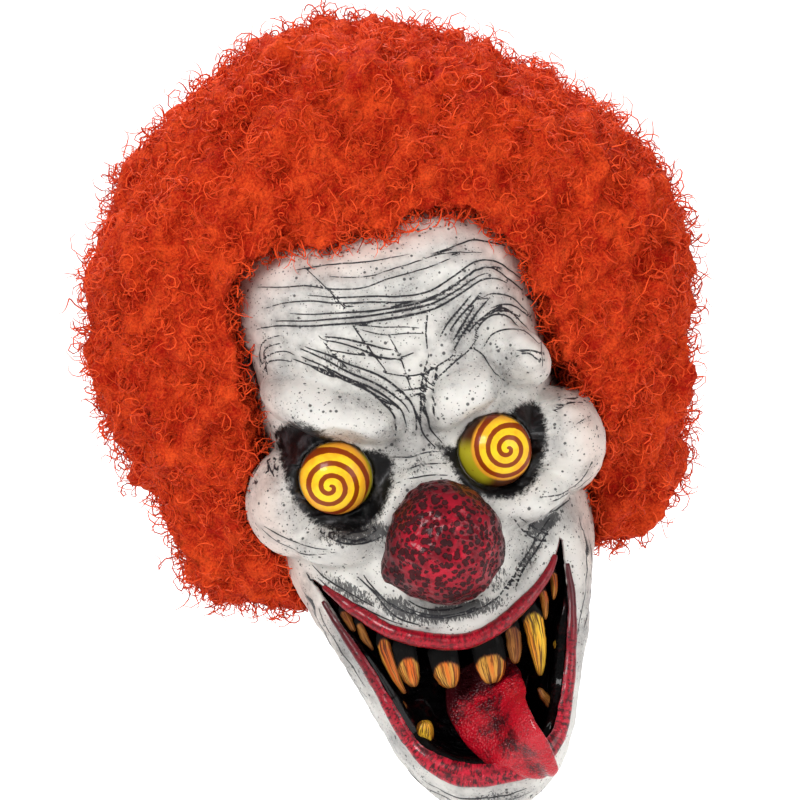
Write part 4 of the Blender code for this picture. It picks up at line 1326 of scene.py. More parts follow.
    def build(self) -> Skin:
        """Builds and dresses the skin.

        Returns:
            Its surface, for the pieces that rest on it.
        """
        rings = self.grid()
        flat = self.view.flatten(rings.reshape(-1, 3))
        facing = fade(rings[..., 1].ravel(), *self.painted_y)
        brush = self.brushwork(flat)
        turned = np.clip(1.5 * grid_normals(rings).reshape(-1, 3) @ np.array(self.view.back), 0.15, 1.0)
        brush["ink_width"] *= turned
        rings = self.relief(rings, brush.pop("groove"), facing)
        skin = Skin(rings)
        faces = np.array(ring_faces(*rings.shape[:2]))
        points, faces = self.cut_holes(rings, faces)
        socket = np.full(len(flat), NO_SOCKET_MM)
        for outline in (LEFT_SOCKET, RIGHT_SOCKET):
            socket = np.minimum(socket, outline_distance(flat, smooth_points(outline + outline[:1], 60)))
        hairline = np.array(HAIRLINE) * (self.form.half_width, self.form.crown) + (0, self.form.eye_z)
        blush = np.exp(-((path_distance(points[:, ::2], hairline)[0] / self.blush_reach) ** 2))
        fields = {**brush, "wash_and_shade": self.washes_and_shade(flat) * np.sqrt(turned), "blush": blush}
        fields = {name: value * facing for name, value in fields.items()}
        fields["socket"] = np.where(facing > 0.5, socket, NO_SOCKET_MM)
        fields["ink_away"] = np.where(facing > 0.5, brush["ink_away"], NO_INK_MM)
        fields["outer"] = np.ones(len(points))
        top = len(points)
        points = np.concatenate([points, rings[0].mean(axis=0)[None]])
        sides = rings.shape[1]
        fan = [[top, i, (i + 1) % sides] for i in range(sides)]
        item = new_piece("latex_skin", points, faces.tolist() + fan)
        for name, values in fields.items():
            set_field(item, name, values)
        pick(item)
        with editing():
            bpy.ops.mesh.delete_loose()
        outer = len(item.data.vertices)
        add_wall(item, self.form.wall)
        shown = (np.arange(len(item.data.vertices)) < outer).astype(np.float32)
        item.data.attributes["outer"].data.foreach_set("value", shown)
        enrol(item, self.finish.make(), "latex", "latex_head")
        return skin


class Side(Enum):
    """Which eye, as the photograph shows them."""

    LEFT = "eye_left"
    RIGHT = "eye_right"


class Edge(Enum):
    """Which edge of the mouth."""

    UPPER = "upper"
    LOWER = "lower"


@dataclass(frozen=True)
class EyeFinish:
    """Glossy yellow paint with a brown spiral, a tan rim and green at one side."""

    spiral: Pair
    green_place: Pair
    disc: Pair
    disc_radius: float
    pitch: float
    phase: float = 0.26
    line_share: float = 0.43
    yellow: Colour = srgb(255, 208, 40)
    gold: Colour = srgb(248, 176, 30)
    tan: Colour = srgb(222, 140, 48)
    line: Colour = srgb(124, 22, 6)
    green: Colour = srgb(176, 164, 34)
    rim: Colour = srgb(74, 36, 14)

    def offset(self, f: Finish, place: Pair) -> tuple[Socket, Socket]:
        """How far right of and above a place (x, z) the surface is, in metres."""
        moved = f.stretch((1.0, 1.0, 1.0), shift=(-place[0], 0.0, -place[1]))
        return f.channel(moved, 0, "XYZ"), f.channel(moved, 2, "XYZ")

    def make(self, name: str) -> Material:
        """Builds the material.

        Args:
            name: the material's name.

        Returns:
            The finished material.
        """
        f = Finish(name)
        across, up = self.offset(f, self.spiral)
        radius = f.plus(f.away(across, up), f.about(f.noise(260.0), 0.0008))
        angle = f.math("DIVIDE", f.math("ARCTAN2", up, across), 2 * math.pi)
        wound = f.plus(f.math("DIVIDE", radius, self.pitch), f.plus(angle, self.phase))
        share = f.math("ABSOLUTE", f.minus(f.math("FRACT", wound), 0.5))
        half = 0.5 * self.line_share
        stripe = f.step(share, half + 0.035, half - 0.035)
        spread = f.away(*self.offset(f, self.disc))
        inside = f.step(spread, self.disc_radius + 0.0010, self.disc_radius - 0.0006)
        cloud = f.step(f.noise(120.0), 0.35, 0.70)
        paint = f.mix(cloud, self.yellow, self.gold)
        outer = f.step(spread, 0.66 * self.disc_radius, self.disc_radius)
        paint = f.mix(f.times(outer, 0.75), paint, self.tan)
        paint = f.mix(f.times(stripe, 0.94), paint, self.line)
        beside = f.away(*self.offset(f, self.green_place))
        colour = f.mix(inside, f.mix(f.step(beside, 0.018, 0.009), self.rim, self.green), paint)
        dirt = f.step(f.noise(300.0, 4.0, 0.7), 0.60, 0.72)
        colour = f.mix(f.times(dirt, f.minus(0.75, f.times(inside, 0.60))),
                       colour, self.line)
        relief = f.bump(f.noise(90.0, 2.0, 0.5), 0.06, 0.0008)
        return f.close(colour, 0.30, relief, coat=0.20, coat_rough=0.05, shine=0.12)


@dataclass
class Eye:
    """A hollow painted dome with a skirt behind the latex."""

    side: Side
    place: Pair
    finish: EyeFinish
    radius: float = HeadForm.eye_radius
    bulge: float = 0.0150
    wall: float = 0.0016
    skirt: float = 0.0110
    weld: float = 1e-5
    seat_y: float = HeadForm.socket_y
    segments: int = 72
    rings: int = 36

    def build(self) -> None:
        """Cuts a sphere in half, flattens it, draws its skirt back and gives it a wall."""
        bpy.ops.object.select_all(action="DESELECT")
        bpy.ops.mesh.primitive_uv_sphere_add(segments=self.segments, ring_count=self.rings,
                                             radius=self.radius, rotation=(math.pi / 2, 0.0, 0.0))
        item = bpy.context.active_object
        bpy.ops.object.transform_apply(location=True, rotation=True, scale=True)
        with editing():
            bpy.ops.mesh.bisect(plane_co=(0, 0, 0), plane_no=(0, 1, 0), clear_outer=True, clear_inner=False)
            bpy.ops.mesh.select_all(action="SELECT")
            bpy.ops.mesh.remove_doubles(threshold=self.weld)
            bpy.ops.mesh.select_all(action="SELECT")
            flat = self.bulge / self.radius
            bpy.ops.transform.resize(value=(1.0, flat, 1.0), center_override=(0.0, 0.0, 0.0))
            bpy.ops.mesh.select_all(action="DESELECT")
            bpy.ops.mesh.select_mode(type="EDGE")
            bpy.ops.mesh.select_non_manifold()
            bpy.ops.mesh.extrude_region_move(TRANSFORM_OT_translate={"value": (0.0, self.skirt, 0.0)})
            bpy.ops.mesh.select_mode(type="VERT")
            bpy.ops.mesh.select_all(action="SELECT")
            bpy.ops.transform.translate(value=(self.place[0], self.seat_y, self.place[1]))
        item.name = item.data.name = f"{self.side.value}_dome"
        item.data.shade_smooth()
        add_wall(item, self.wall)
        enrol(item, self.finish.make(f"{self.side.value}_paint"), "eye_gloss", self.side.value)


@dataclass(frozen=True)
class NoseFinish:
    """Crimson gloss over a skin of dark pits, with painted shade towards the ball's bottom and edges."""

    ridge: Colour = srgb(190, 18, 46)
    dark: Colour = srgb(60, 5, 14)
    pit: Colour = srgb(22, 3, 6)
    pit_cells: float = 300.0
    swirl_scale: float = 260.0
    swirl: float = 0.0026

    def make(self) -> Material:
        """Builds the material."""
        f = Finish("nose_paint")
        swirl = f.add("TexNoise", {"Vector": f.place, "Scale": self.swirl_scale}).outputs["Color"]
        warped = f.add("VectorMath", {0: swirl, 1: (self.swirl,) * 3, 2: f.place}, operation="MULTIPLY_ADD")
        spot, lot = f.cells(self.pit_cells, warped.outputs[0])
        radius = f.plus(f.times(f.channel(lot, 0), 0.32), 0.28)
        pit = f.step(spot, f.plus(radius, 0.12), f.minus(radius, 0.06))
        patch = f.step(f.noise(70.0, 4.0, 0.7), 0.36, 0.62)
        # Dark crimson in random patches, and as painted shade towards the bottom and the edges.
        paint = f.mix(f.most(f.times(patch, 0.75), f.field("shaded")), self.ridge, self.dark)
        colour = f.mix(f.times(pit, 0.88), paint, self.pit)
        deep = f.bump(f.minus(1.0, pit), 1.0, 0.0016)
        relief = f.bump(f.noise(420.0), 0.25, 0.0006, deep)
        rough = f.plus(f.times(pit, 0.35), 0.30)
        return f.close(colour, rough, relief, coat=0.10, coat_rough=0.14, shine=0.2)


@dataclass
class Nose:
    """A hollow ball nose with nostril wings, seated on the face."""

    form: HeadForm
    skin: Skin
    half_depth: float = 0.032
    wall: float = 0.0025
    middle_share: float = 0.50
    behind_share: float = 0.72
    left_wing: float = 0.0085
    right_wing: float = 0.0016
    wing_low: float = 0.40
    wing_spread: float = 0.35
    taper: float = 0.16
    waves: tuple[Wave, ...] = (Wave(0.0007, 0.012, 11), Wave(0.0003, 0.005, 12))
    shade_z: float = -0.226
    edge_shade: float = 0.9
    sides: int = 150
    rows: int = 96
    tries: int = 60
    seat_rows: int = 3
    finish: NoseFinish = NoseFinish()

    def place_at(self, lean: Array, turn: Array, inset: float) -> Array:
        """Places of the ball.

        Args:
            lean: radians from its foremost point.
            turn: radians round it.
            inset: how far inside the outer surface, in metres.

        Returns:
            Places in metres.
        """
        middle_y = self.form.nose_seat_y - self.middle_share * self.half_depth
        round_share = np.sin(lean)
        wide = (self.form.nose_half_width - inset) * round_share
        high = (self.form.nose_half_height - inset) * round_share
        x, z = wide * np.cos(turn), high * np.sin(turn)
        side = np.abs(x) / self.form.nose_half_width
        low = -z / self.form.nose_half_height
        wing = np.exp(-(((low - self.wing_low) / self.wing_spread) ** 2)) * side**2 * round_share**6
        wide_wing = np.where(x < 0, -self.left_wing, self.right_wing) * wing
        x = x * (1 - self.taper * np.clip(-low, 0, 1) ** 2) + wide_wing
        y = middle_y - (self.half_depth - inset) * np.cos(lean)
        centre_x, centre_z = self.form.nose_place
        return np.stack([centre_x + x, y, centre_z + z], -1)

    def surface(self, inset: float, rows: int) -> Array:
        """Rings from the foremost point back to where the ball meets the face.

        Args:
            inset: how far inside the outer surface.
            rows: how many rings.

        Returns:
            (rows, sides, 3) places.
        """
        turn = -full_turn(self.sides)
        leans = np.linspace(0.9, math.acos(-self.behind_share), self.tries)
        tried = self.place_at(*np.meshgrid(leans, turn), inset)
        clear = self.skin.height(tried) > GAP
        last = np.where(clear.all(axis=1), self.tries - 1, np.argmin(clear, axis=1) - 1)
        limit = leans[np.maximum(last, 0)]
        ends = np.stack([np.roll(limit, step) for step in (-2, -1, 0, 1, 2)])
        limit = np.minimum(ends.mean(axis=0), limit + 0.03)
        share = np.linspace(0.02, 1.0, rows)[:, None]
        lean = share * limit[None, :]
        return self.place_at(lean, np.broadcast_to(turn, lean.shape), inset)

    def build(self) -> None:
        """Builds the wall from its outer and inner surfaces and dresses it."""
        centre_x, centre_z = self.form.nose_place
        outer, inner = self.surface(0.0, self.rows), self.surface(self.wall, self.rows // 3)
        outward = unit(outer - np.array([centre_x, self.form.nose_seat_y, centre_z]))
        outer = outer + outward * ripple(outer, *self.waves)[..., None]
        for rings in (outer, inner):
            rings[-self.seat_rows:] = self.skin.rest(rings[-self.seat_rows:], GAP)
        item = new_loft("nose_ball", np.concatenate([outer, inner[::-1]]))
        x, _, z = read(item.data.vertices, "co").T
        away = np.hypot((x - centre_x) / self.form.nose_half_width,
                        (z - centre_z) / self.form.nose_half_height)
        # Painted shade: darker towards the bottom of the ball and towards its edges.
        edge = self.edge_shade * fade(away, 0.55, 1.0)
        set_field(item, "shaded", np.maximum(fade(z, centre_z, self.shade_z), edge))
        enrol(item, self.finish.make(), "nose_gloss", "nose")


@dataclass(frozen=True)
class LipFinish:
    """Wet crimson with dark streaks across it and painted pale highlights."""

    name: str
    red: Colour
    dark: Colour
    streaks: float
    # Colour of the painted highlights.
    pale: Colour = srgb(222, 104, 120)

    def make(self) -> Material:
        """Builds the material."""
        f = Finish(self.name)
        across = f.noise(1.0, 4.0, 0.65, f.vector(f.times(f.field("along"), 520.0),
                                                  f.times(f.field("around"), 1.6)))
        broad = f.noise(1.0, 3.0, 0.6, f.vector(f.times(f.field("along"), 110.0), f.field("around")))
        dark = f.times(f.step(across, 0.43, 0.60), self.streaks)
        dark = f.most(dark, f.times(f.step(broad, 0.44, 0.70), self.streaks))
        dark = f.most(dark, f.field("tail"))
        colour = f.mix(dark, self.red, self.dark)
        # Painted highlights: pale pink where the crease noise is low, in patches.
        painted_highlight = f.times(f.step(across, 0.40, 0.30), f.step(f.noise(140.0), 0.44, 0.60))
        colour = f.mix(f.times(painted_highlight, 0.55), colour, self.pale)
        creased = f.bump(across, 0.35, 0.0009)
        relief = f.bump(f.noise(600.0), 0.15, 0.0004, creased)
        return f.close(colour, 0.34, relief, coat=0.30, coat_rough=0.10, shine=0.25)


@dataclass
class Lip:
    """A soft roll along one edge of the mouth, resting on the skin."""

    edge: Edge
    mouth: MouthForm
    skin: Skin
    finish: LipFinish
    half_height: float = 0.0046
    proud: float = 0.0042
    swell: float = 0.0
    end_share: float = 0.30
    dark_ends: float = 0.5
    waves: tuple[Wave, ...] = (Wave(0.06, 0.016, 21), Wave(0.03, 0.006, 22))
    smoothings: int = 6
    stations: int = 190
    sides: int = 28

    def build(self) -> None:
        """Lofts and dresses the lip."""
        table, trim = (UPPER_EDGE, 1 / 12) if self.edge is Edge.UPPER else (LOWER_EDGE, 1 / 18)
        path = self.mouth.path(table, self.stations, trim)
        middle = np.array([self.skin.at(x, z) for x, z in path])
        for _ in range(self.smoothings):
            middle[1:-1, 1] = 0.25 * middle[:-2, 1] + 0.5 * middle[1:-1, 1] + 0.25 * middle[2:, 1]
        along = unit(np.gradient(middle, axis=0))
        share = np.arange(self.stations) / (self.stations - 1)
        bow = np.clip(np.sin(math.pi * share), 0, 1)
        full = self.end_share + (1 - self.end_share) * np.sqrt(bow)
        broad = full + self.swell * bow**8
        length = np.concatenate([[0], np.cumsum(np.linalg.norm(np.diff(middle, axis=0), axis=1))])
        lumps = 1 + ripple(middle, *self.waves)
        turn = full_turn(self.sides)
        flat = unit(np.stack([-along[:, 2], np.zeros(self.stations), along[:, 0]], -1))
        out = unit(np.cross(along, flat))
        high = (self.half_height * broad * lumps)[:, None] * np.cos(turn)
        proud = (self.proud * full * lumps)[:, None] * np.sin(turn)
        rings = middle[:, None] + flat[:, None] * high[..., None] + out[:, None] * proud[..., None]
        item = new_loft(f"{self.edge.value}_lip_roll", self.skin.rest(rings, GAP))
        set_field(item, "along", np.repeat(length, self.sides))
        set_field(item, "around", np.tile(np.cos(turn), self.stations))
        tail = self.dark_ends * fade(np.minimum(share, 1 - share), 0.36, 0.04)
        set_field(item, "tail", np.repeat(tail, self.sides))
        enrol(item, self.finish.make(), "lip_gloss", f"{self.edge.value}_lip")


@dataclass(frozen=True)
class MouthFinish:
    """Wet black with deep red tissue and a pink gum under the upper lip."""

    black: Colour = srgb(3, 2, 3)
    flesh: Colour = srgb(66, 10, 14)
    gum: Colour = srgb(176, 104, 104)

    def make(self) -> Material:
        """Builds the material."""
        f = Finish("mouth_gloss")
        lumps = f.noise(150.0, 4.0, 0.65)
        folds, _ = f.cells(190.0)
        flesh = f.times(f.step(lumps, 0.54, 0.72), 0.7)
        colour = f.mix(flesh, self.black, self.flesh)
        gum = f.step(f.plus(f.field("gum"), f.about(lumps, 1.4)), 0.45, 0.70)
        stain = f.step(f.noise(330.0), 0.42, 0.66)
        colour = f.mix(gum, colour, f.mix(stain, self.gum, self.flesh))
        relief = f.bump(lumps, 1.0, 0.0070)
        relief = f.bump(folds, 0.8, 0.0036, relief)
        return f.close(colour, 0.36, relief, coat=0.22, coat_rough=0.07, shine=0.06)


@dataclass
class Lining:
    """The mouth's lining: a thin cup behind the cut, closed at its back."""

    mouth: MouthForm
    skin: Skin
    wall: float = 0.0018
    set_back: float = 0.0010
    rows: int = 26
    finish: MouthFinish = MouthFinish()

    def build(self) -> None:
        """Lofts the outside and the inside as one wall and dresses it."""
        outline = self.mouth.outline()
        rim_y = np.array([self.skin.at(x, z)[1] for x, z in outline]) + self.set_back
        insets, depths = smooth_points(LINING_ROWS, self.rows).T
        insets, depths = insets.clip(0), depths.clip(0.01, 1)
        outside, inside = [], []
        for inset, depth in zip(insets, depths):
            y = rim_y + (self.mouth.back_y - rim_y) * depth
            for rings, wall in ((outside, 0.0), (inside, self.wall)):
                x, z = self.mouth.inset(outline, inset * self.mouth.gum_reach, wall, GAP).T
                rings.append(np.stack([x, y, z], -1))
        inside[-1][:, 1] -= self.wall
        item = new_loft("mouth_wall", np.array(outside[::-1] + inside))
        upper = np.zeros(len(outline))
        upper[: self.mouth.upper_count] = 1
        near = np.concatenate([np.zeros(self.rows), fade(depths, 0.50, 0.16)])
        set_field(item, "gum", (near[:, None] * upper[None]).ravel())
        enrol(item, self.finish.make(), "mouth_black", "mouth_lining")


@dataclass(frozen=True)
class ToothFinish:
    """Amber enamel with orange and brown streaks that run along the tooth."""

    name: str
    body: Colour
    warm: Colour
    root: float = 0.66
    stain: Colour = srgb(74, 30, 12)
    gum: Colour = srgb(3, 2, 2)

    def make(self) -> Material:
        """Builds the material."""
        f = Finish(self.name)
        seed = f.times(f.field("seed"), 17.0)
        run = f.vector(f.times(f.field("across"), 6.5), f.times(f.field("down"), 1.6), seed)
        streak = f.noise(1.0, 4.0, 0.65, run, 0.4)
        broad = f.noise(1.0, 2.0, 0.5, f.vector(f.times(f.field("across"), 1.6), f.field("down"), seed))
        colour = f.mix(f.step(broad, 0.42, 0.66), self.body, self.warm)
        colour = f.mix(f.times(f.step(streak, 0.45, 0.58), 0.90), colour, self.stain)
        arch = f.times(f.math("POWER", f.math("ABSOLUTE", f.field("across")), 2.2), -0.16)
        shown = f.plus(f.plus(f.field("down"), arch), f.times(streak, 0.16))
        root = f.step(shown, self.root + 0.035, self.root - 0.035)
        tip = f.step(f.plus(f.field("down"), f.times(streak, 0.25)), 1.02, 1.16)
        side = f.step(f.math("ABSOLUTE", f.field("across")), 0.72, 1.05)
        grime = f.most(f.most(root, tip), f.times(side, 0.8), True)
        colour = f.mix(f.times(grime, 0.85), colour, self.stain)
        colour = f.mix(root, colour, self.gum)
        relief = f.bump(streak, 0.45, 0.0010)
        rough = f.plus(f.times(root, 0.6), 0.32)
        return f.close(colour, rough, relief, coat=0.05, coat_rough=0.12, shine=0.22)


@dataclass
class Teeth:
    """Crooked teeth along both edges, each bent from its gum to its tip."""

    mouth: MouthForm
    skin: Skin
    depth: float = 0.0075
    lean: float = 0.35
    bend: float = 0.25
    root_depth: float = 0.33
    root_sink: float = 0.40
    lining_wall: float = Lining.wall
    lump: float = 0.00022
    lump_pitch: float = 0.006
    ridges: float = 0.035
    fine_ridges: float = 0.02
    blunt_from: float = 0.86
    blunt_length: float = 0.145
    sides: int = 24
    rows: int = 18
    upper_stations: int = 13
    lower_stations: int = 19

    def root(self, outline: Array, first: int, count: int, along: float) -> tuple[Array, Array]:
        """Where a root sits in the gum.

        Args:
            outline: the coarse outline.
            first: number of the edge's first station.
            count: stations of the edge.
            along: share along the edge.

        Returns:
            The root's place and the way into the mouth.
        """
        moved = self.mouth.inset(outline, self.mouth.gum_reach, self.root_sink * self.lining_wall, GAP)
        place = first + along * (count - 1)
        low = int(place) % len(outline)
        high = (low + 1) % len(outline)
        part = place - int(place)
        root = moved[low] * (1 - part) + moved[high] * part
        inward = self.mouth.inward(outline)[low]
        skin_y = self.skin.at(*(outline[low] * (1 - part) + outline[high] * part))[1]
        y = skin_y + (self.mouth.back_y - skin_y) * self.root_depth
        return np.array([root[0], y, root[1]]), np.array([inward[0], 0, inward[1]])

    def build_tooth(self, name: str, tooth: Tooth, root: Array, inward: Array, seed: int,
                    finish: Material) -> None:
        """Lofts one tooth.

        Args:
            name: its solid's name.
            tooth: its sizes.
            root: where it starts.
            inward: the way into the mouth there.
            seed: picks its lumps.
            finish: its material.
        """
        tip_x, tip_z = self.mouth.at(tooth.tip_across, tooth.tip_drop)
        tip = np.array([tip_x, root[1] - self.lean * self.depth, tip_z])
        length = np.linalg.norm(tip - root)
        bend = root + inward * self.bend * length
        shares = [0.10, *np.linspace(0.18, 0.97, self.rows - 4), 0.985, 0.996, 1.0]
        turn = full_turn(self.sides)
        ridged = 1 + self.ridges * np.cos(3 * turn + seed) + self.fine_ridges * np.cos(7 * turn + 2 * seed)
        table = [row.share for row in TOOTH_ROWS]
        widths = [row.width - row.narrowing * tooth.point for row in TOOTH_ROWS]
        rings = []
        for share in shares:
            wide = np.interp(share, table, widths)
            end = math.sqrt(max(1 - max(0.0, (share - self.blunt_from) / self.blunt_length) ** 2, 0.0))
            wide = (1.20 * wide + 0.14 * max(0.0, share - 0.5)) * (0.25 + 0.75 * end)
            centre = (1 - share) ** 2 * root + 2 * share * (1 - share) * bend + share**2 * tip
            way = unit((1 - share) * (bend - root) + share * (tip - bend))
            across = unit(np.cross(way, (0, 1, 0)))
            forward = np.cross(across, way)
            half_width = 0.5 * tooth.width * self.mouth.half_width * wide
            half_depth = 0.5 * self.depth * min(1.1 * wide, 1)
            x = half_width * np.sign(np.cos(turn)) * np.abs(np.cos(turn)) ** 0.8 * ridged
            y = half_depth * np.sign(np.sin(turn)) * np.abs(np.sin(turn)) ** 0.9 * ridged
            rings.append(centre + across * x[:, None] + forward * y[:, None])
        rings = np.array(rings)
        shift = np.random.default_rng(seed).uniform(0, 1, 3)
        rings += ripple(rings + shift, Wave(self.lump, self.lump_pitch, seed))[..., None]
        item = new_loft(name.replace("_tooth_", "_fang_"), rings)
        set_field(item, "across", np.tile(np.cos(turn), len(rings)))
        set_field(item, "down", np.repeat(shares, self.sides))
        set_field(item, "seed", np.full(rings.shape[0] * self.sides, seed))
        enrol(item, finish, "tooth_enamel", name)

    def build(self) -> None:
        """Builds every tooth of both edges."""
        outline = self.mouth.outline(self.upper_stations, self.lower_stations)
        amber = ToothFinish("amber_enamel", srgb(206, 150, 62), srgb(216, 98, 30)).make()
        ochre = ToothFinish("ochre_enamel", srgb(204, 142, 58), srgb(196, 90, 30), 0.34).make()
        bright = ToothFinish("bright_enamel", srgb(240, 192, 56), srgb(226, 140, 36), 0.36).make()
        brown = ToothFinish("brown_enamel", srgb(164, 108, 48), srgb(128, 66, 28), 0.44).make()
        upper_looks = (brown, brown, ochre, amber, amber, amber, brown, bright, ochre, ochre)
        lower_looks = (bright, brown, bright, brown)
        upper = (Edge.UPPER, UPPER_TEETH, 0, self.upper_stations, upper_looks)
        lower = (Edge.LOWER, LOWER_TEETH, self.upper_stations - 1, self.lower_stations, lower_looks)
        for edge, teeth, first, count, looks in (upper, lower):
            for number, (tooth, look) in enumerate(zip(teeth, looks), 1):
                root, inward = self.root(outline, first, count, tooth.along)
                seed = number + 20 * (edge is Edge.LOWER)
                self.build_tooth(f"{edge.value}_tooth_{number}", tooth, root, inward, seed, look)


@dataclass(frozen=True)
class TongueFinish:
    """Wet crimson with fine bumps, painted shade at the root and in the groove, and painted pale glints on
    the buds.
    """

    red: Colour = srgb(190, 10, 34)
    dark: Colour = srgb(62, 4, 12)
    pale: Colour = srgb(232, 120, 130)

    def make(self) -> Material:
        """Builds the material."""
        f = Finish("tongue_gloss")
        buds, _ = f.cells(760.0)
        cloud = f.noise(95.0, 4.0, 0.65)
        # Dark crimson as painted shade at the root and in the groove, broken by noise.
        dark = f.plus(f.field("shaded"), f.about(cloud, 1.6))
        dark = f.plus(dark, f.about(f.noise(520.0, 3.0, 0.7), 1.3))
        colour = f.mix(f.step(dark, 0.0, 0.68), self.red, self.dark)
        # Painted glints: pale spots on the buds.
        glint = f.times(f.step(buds, 0.26, 0.10), f.step(cloud, 0.46, 0.60))
        colour = f.mix(f.times(glint, 0.60), colour, self.pale)
        relief = f.bump(cloud, 0.5, 0.0030)
        relief = f.bump(buds, 0.75, 0.0011, relief)
        return f.close(colour, 0.32, relief, coat=0.35, coat_rough=0.10, shine=0.3)


@dataclass
class Tongue:
    """A long tongue from the back of the mouth over the lower lip, grooved down its middle."""

    mouth: MouthForm
    skin: Skin
    half_width: float = 0.0250
    thickness: float = 0.0090
    groove: float = 0.0026
    lip_proud: float = Lip.proud
    lip_gap: float = 0.0006
    wave: Wave = Wave(0.0005, 0.011, 31)
    swell_way: Triple = (0.3, -1.0, 0.3)
    sides: int = 56
    rows: int = 72
    finish: TongueFinish = TongueFinish()

    def build(self) -> None:
        """Lofts and dresses the tongue."""
        over = self.lip_proud + self.lip_gap + 0.5 * self.thickness
        centres = []
        for row in TONGUE_ROWS:
            x, z = self.mouth.at(row.across, row.drop)
            skin_y = self.skin.at(x, z)[1]
            centres.append((x, skin_y + (self.mouth.back_y - skin_y) * row.depth - over * row.proud, z))
        centres = smooth_points(centres, self.rows)
        sizes = smooth_points([(row.half_width, row.thickness) for row in TONGUE_ROWS], self.rows)
        end = np.sqrt(np.clip(1 - fade(np.linspace(0, 1, self.rows), 0.90, 1.0) ** 2, 0.02, 1))
        turn = full_turn(self.sides)
        rings = []
        ways = unit(np.gradient(centres, axis=0))
        for centre, way, (wide, thick), close in zip(centres, ways, sizes, end):
            across = np.cross(way, (0, 0, 1)) + np.array([1, 0, 0])
            across = unit(across - way * across.dot(way))
            up = np.cross(across, way)
            up *= -1 if up[1] > 0 else 1
            dip = self.groove * thick * np.clip(np.sin(turn), 0, 1) ** 14
            high = 0.5 * thick * self.thickness * close * np.sin(turn) - dip * close
            rings.append(centre + across * (wide * self.half_width * close * np.cos(turn))[:, None]
                         + up * high[:, None])
        rings = np.array(rings)
        rings += ripple(rings, self.wave)[..., None] * np.array(self.swell_way)
        item = new_loft("tongue_flesh", rings)
        # Painted shade: darker at the root, deep in the mouth, and along the middle groove.
        middle = np.clip(np.sin(turn), 0, 1) ** 10 * 0.50
        shaded = np.maximum(fade(np.linspace(0, 1, self.rows), 0.42, 0.05)[:, None], middle[None])
        set_field(item, "shaded", shaded.ravel())
        enrol(item, self.finish.make(), "tongue_gloss", "tongue")


@dataclass(frozen=True)
class CurlFinish:
    """Orange-red curled fibre with a soft sheen, with painted shade in the mass and at the strands' roots.
    """

    light: Colour = srgb(255, 92, 38)
    dark: Colour = srgb(170, 22, 8)

    def base(self) -> Material:
        """The mass under the strands, in darker reds: random tone with painted shade under the strands."""
        f = Finish("curl_mass")
        coils, _ = f.cells(150.0)
        fuzz = f.noise(700.0, 4.0, 0.7)
        cloud = f.noise(60.0, 4.0, 0.6)
        share = f.plus(f.times(fuzz, 0.6), f.times(cloud, 0.5))
        colour = f.mix(f.times(f.step(share, 0.40, 0.72), 0.80), self.dark, self.light)
        relief = f.bump(coils, 0.8, 0.004)
        relief = f.bump(fuzz, 0.9, 0.0016, relief)
        return f.close(colour, 0.80, relief, shine=0.08)

    def strand(self) -> Material:
        """The curled strands."""
        f = Finish("curl_strands")
        fuzz = f.noise(1400.0, 2.0, 0.6)
        colour = f.mix(f.times(fuzz, 0.25), f.field("strand", "Color"), self.dark)
        relief = f.bump(fuzz, 0.3, 0.0003)
        return f.close(colour, 0.55, relief, shine=0.15)


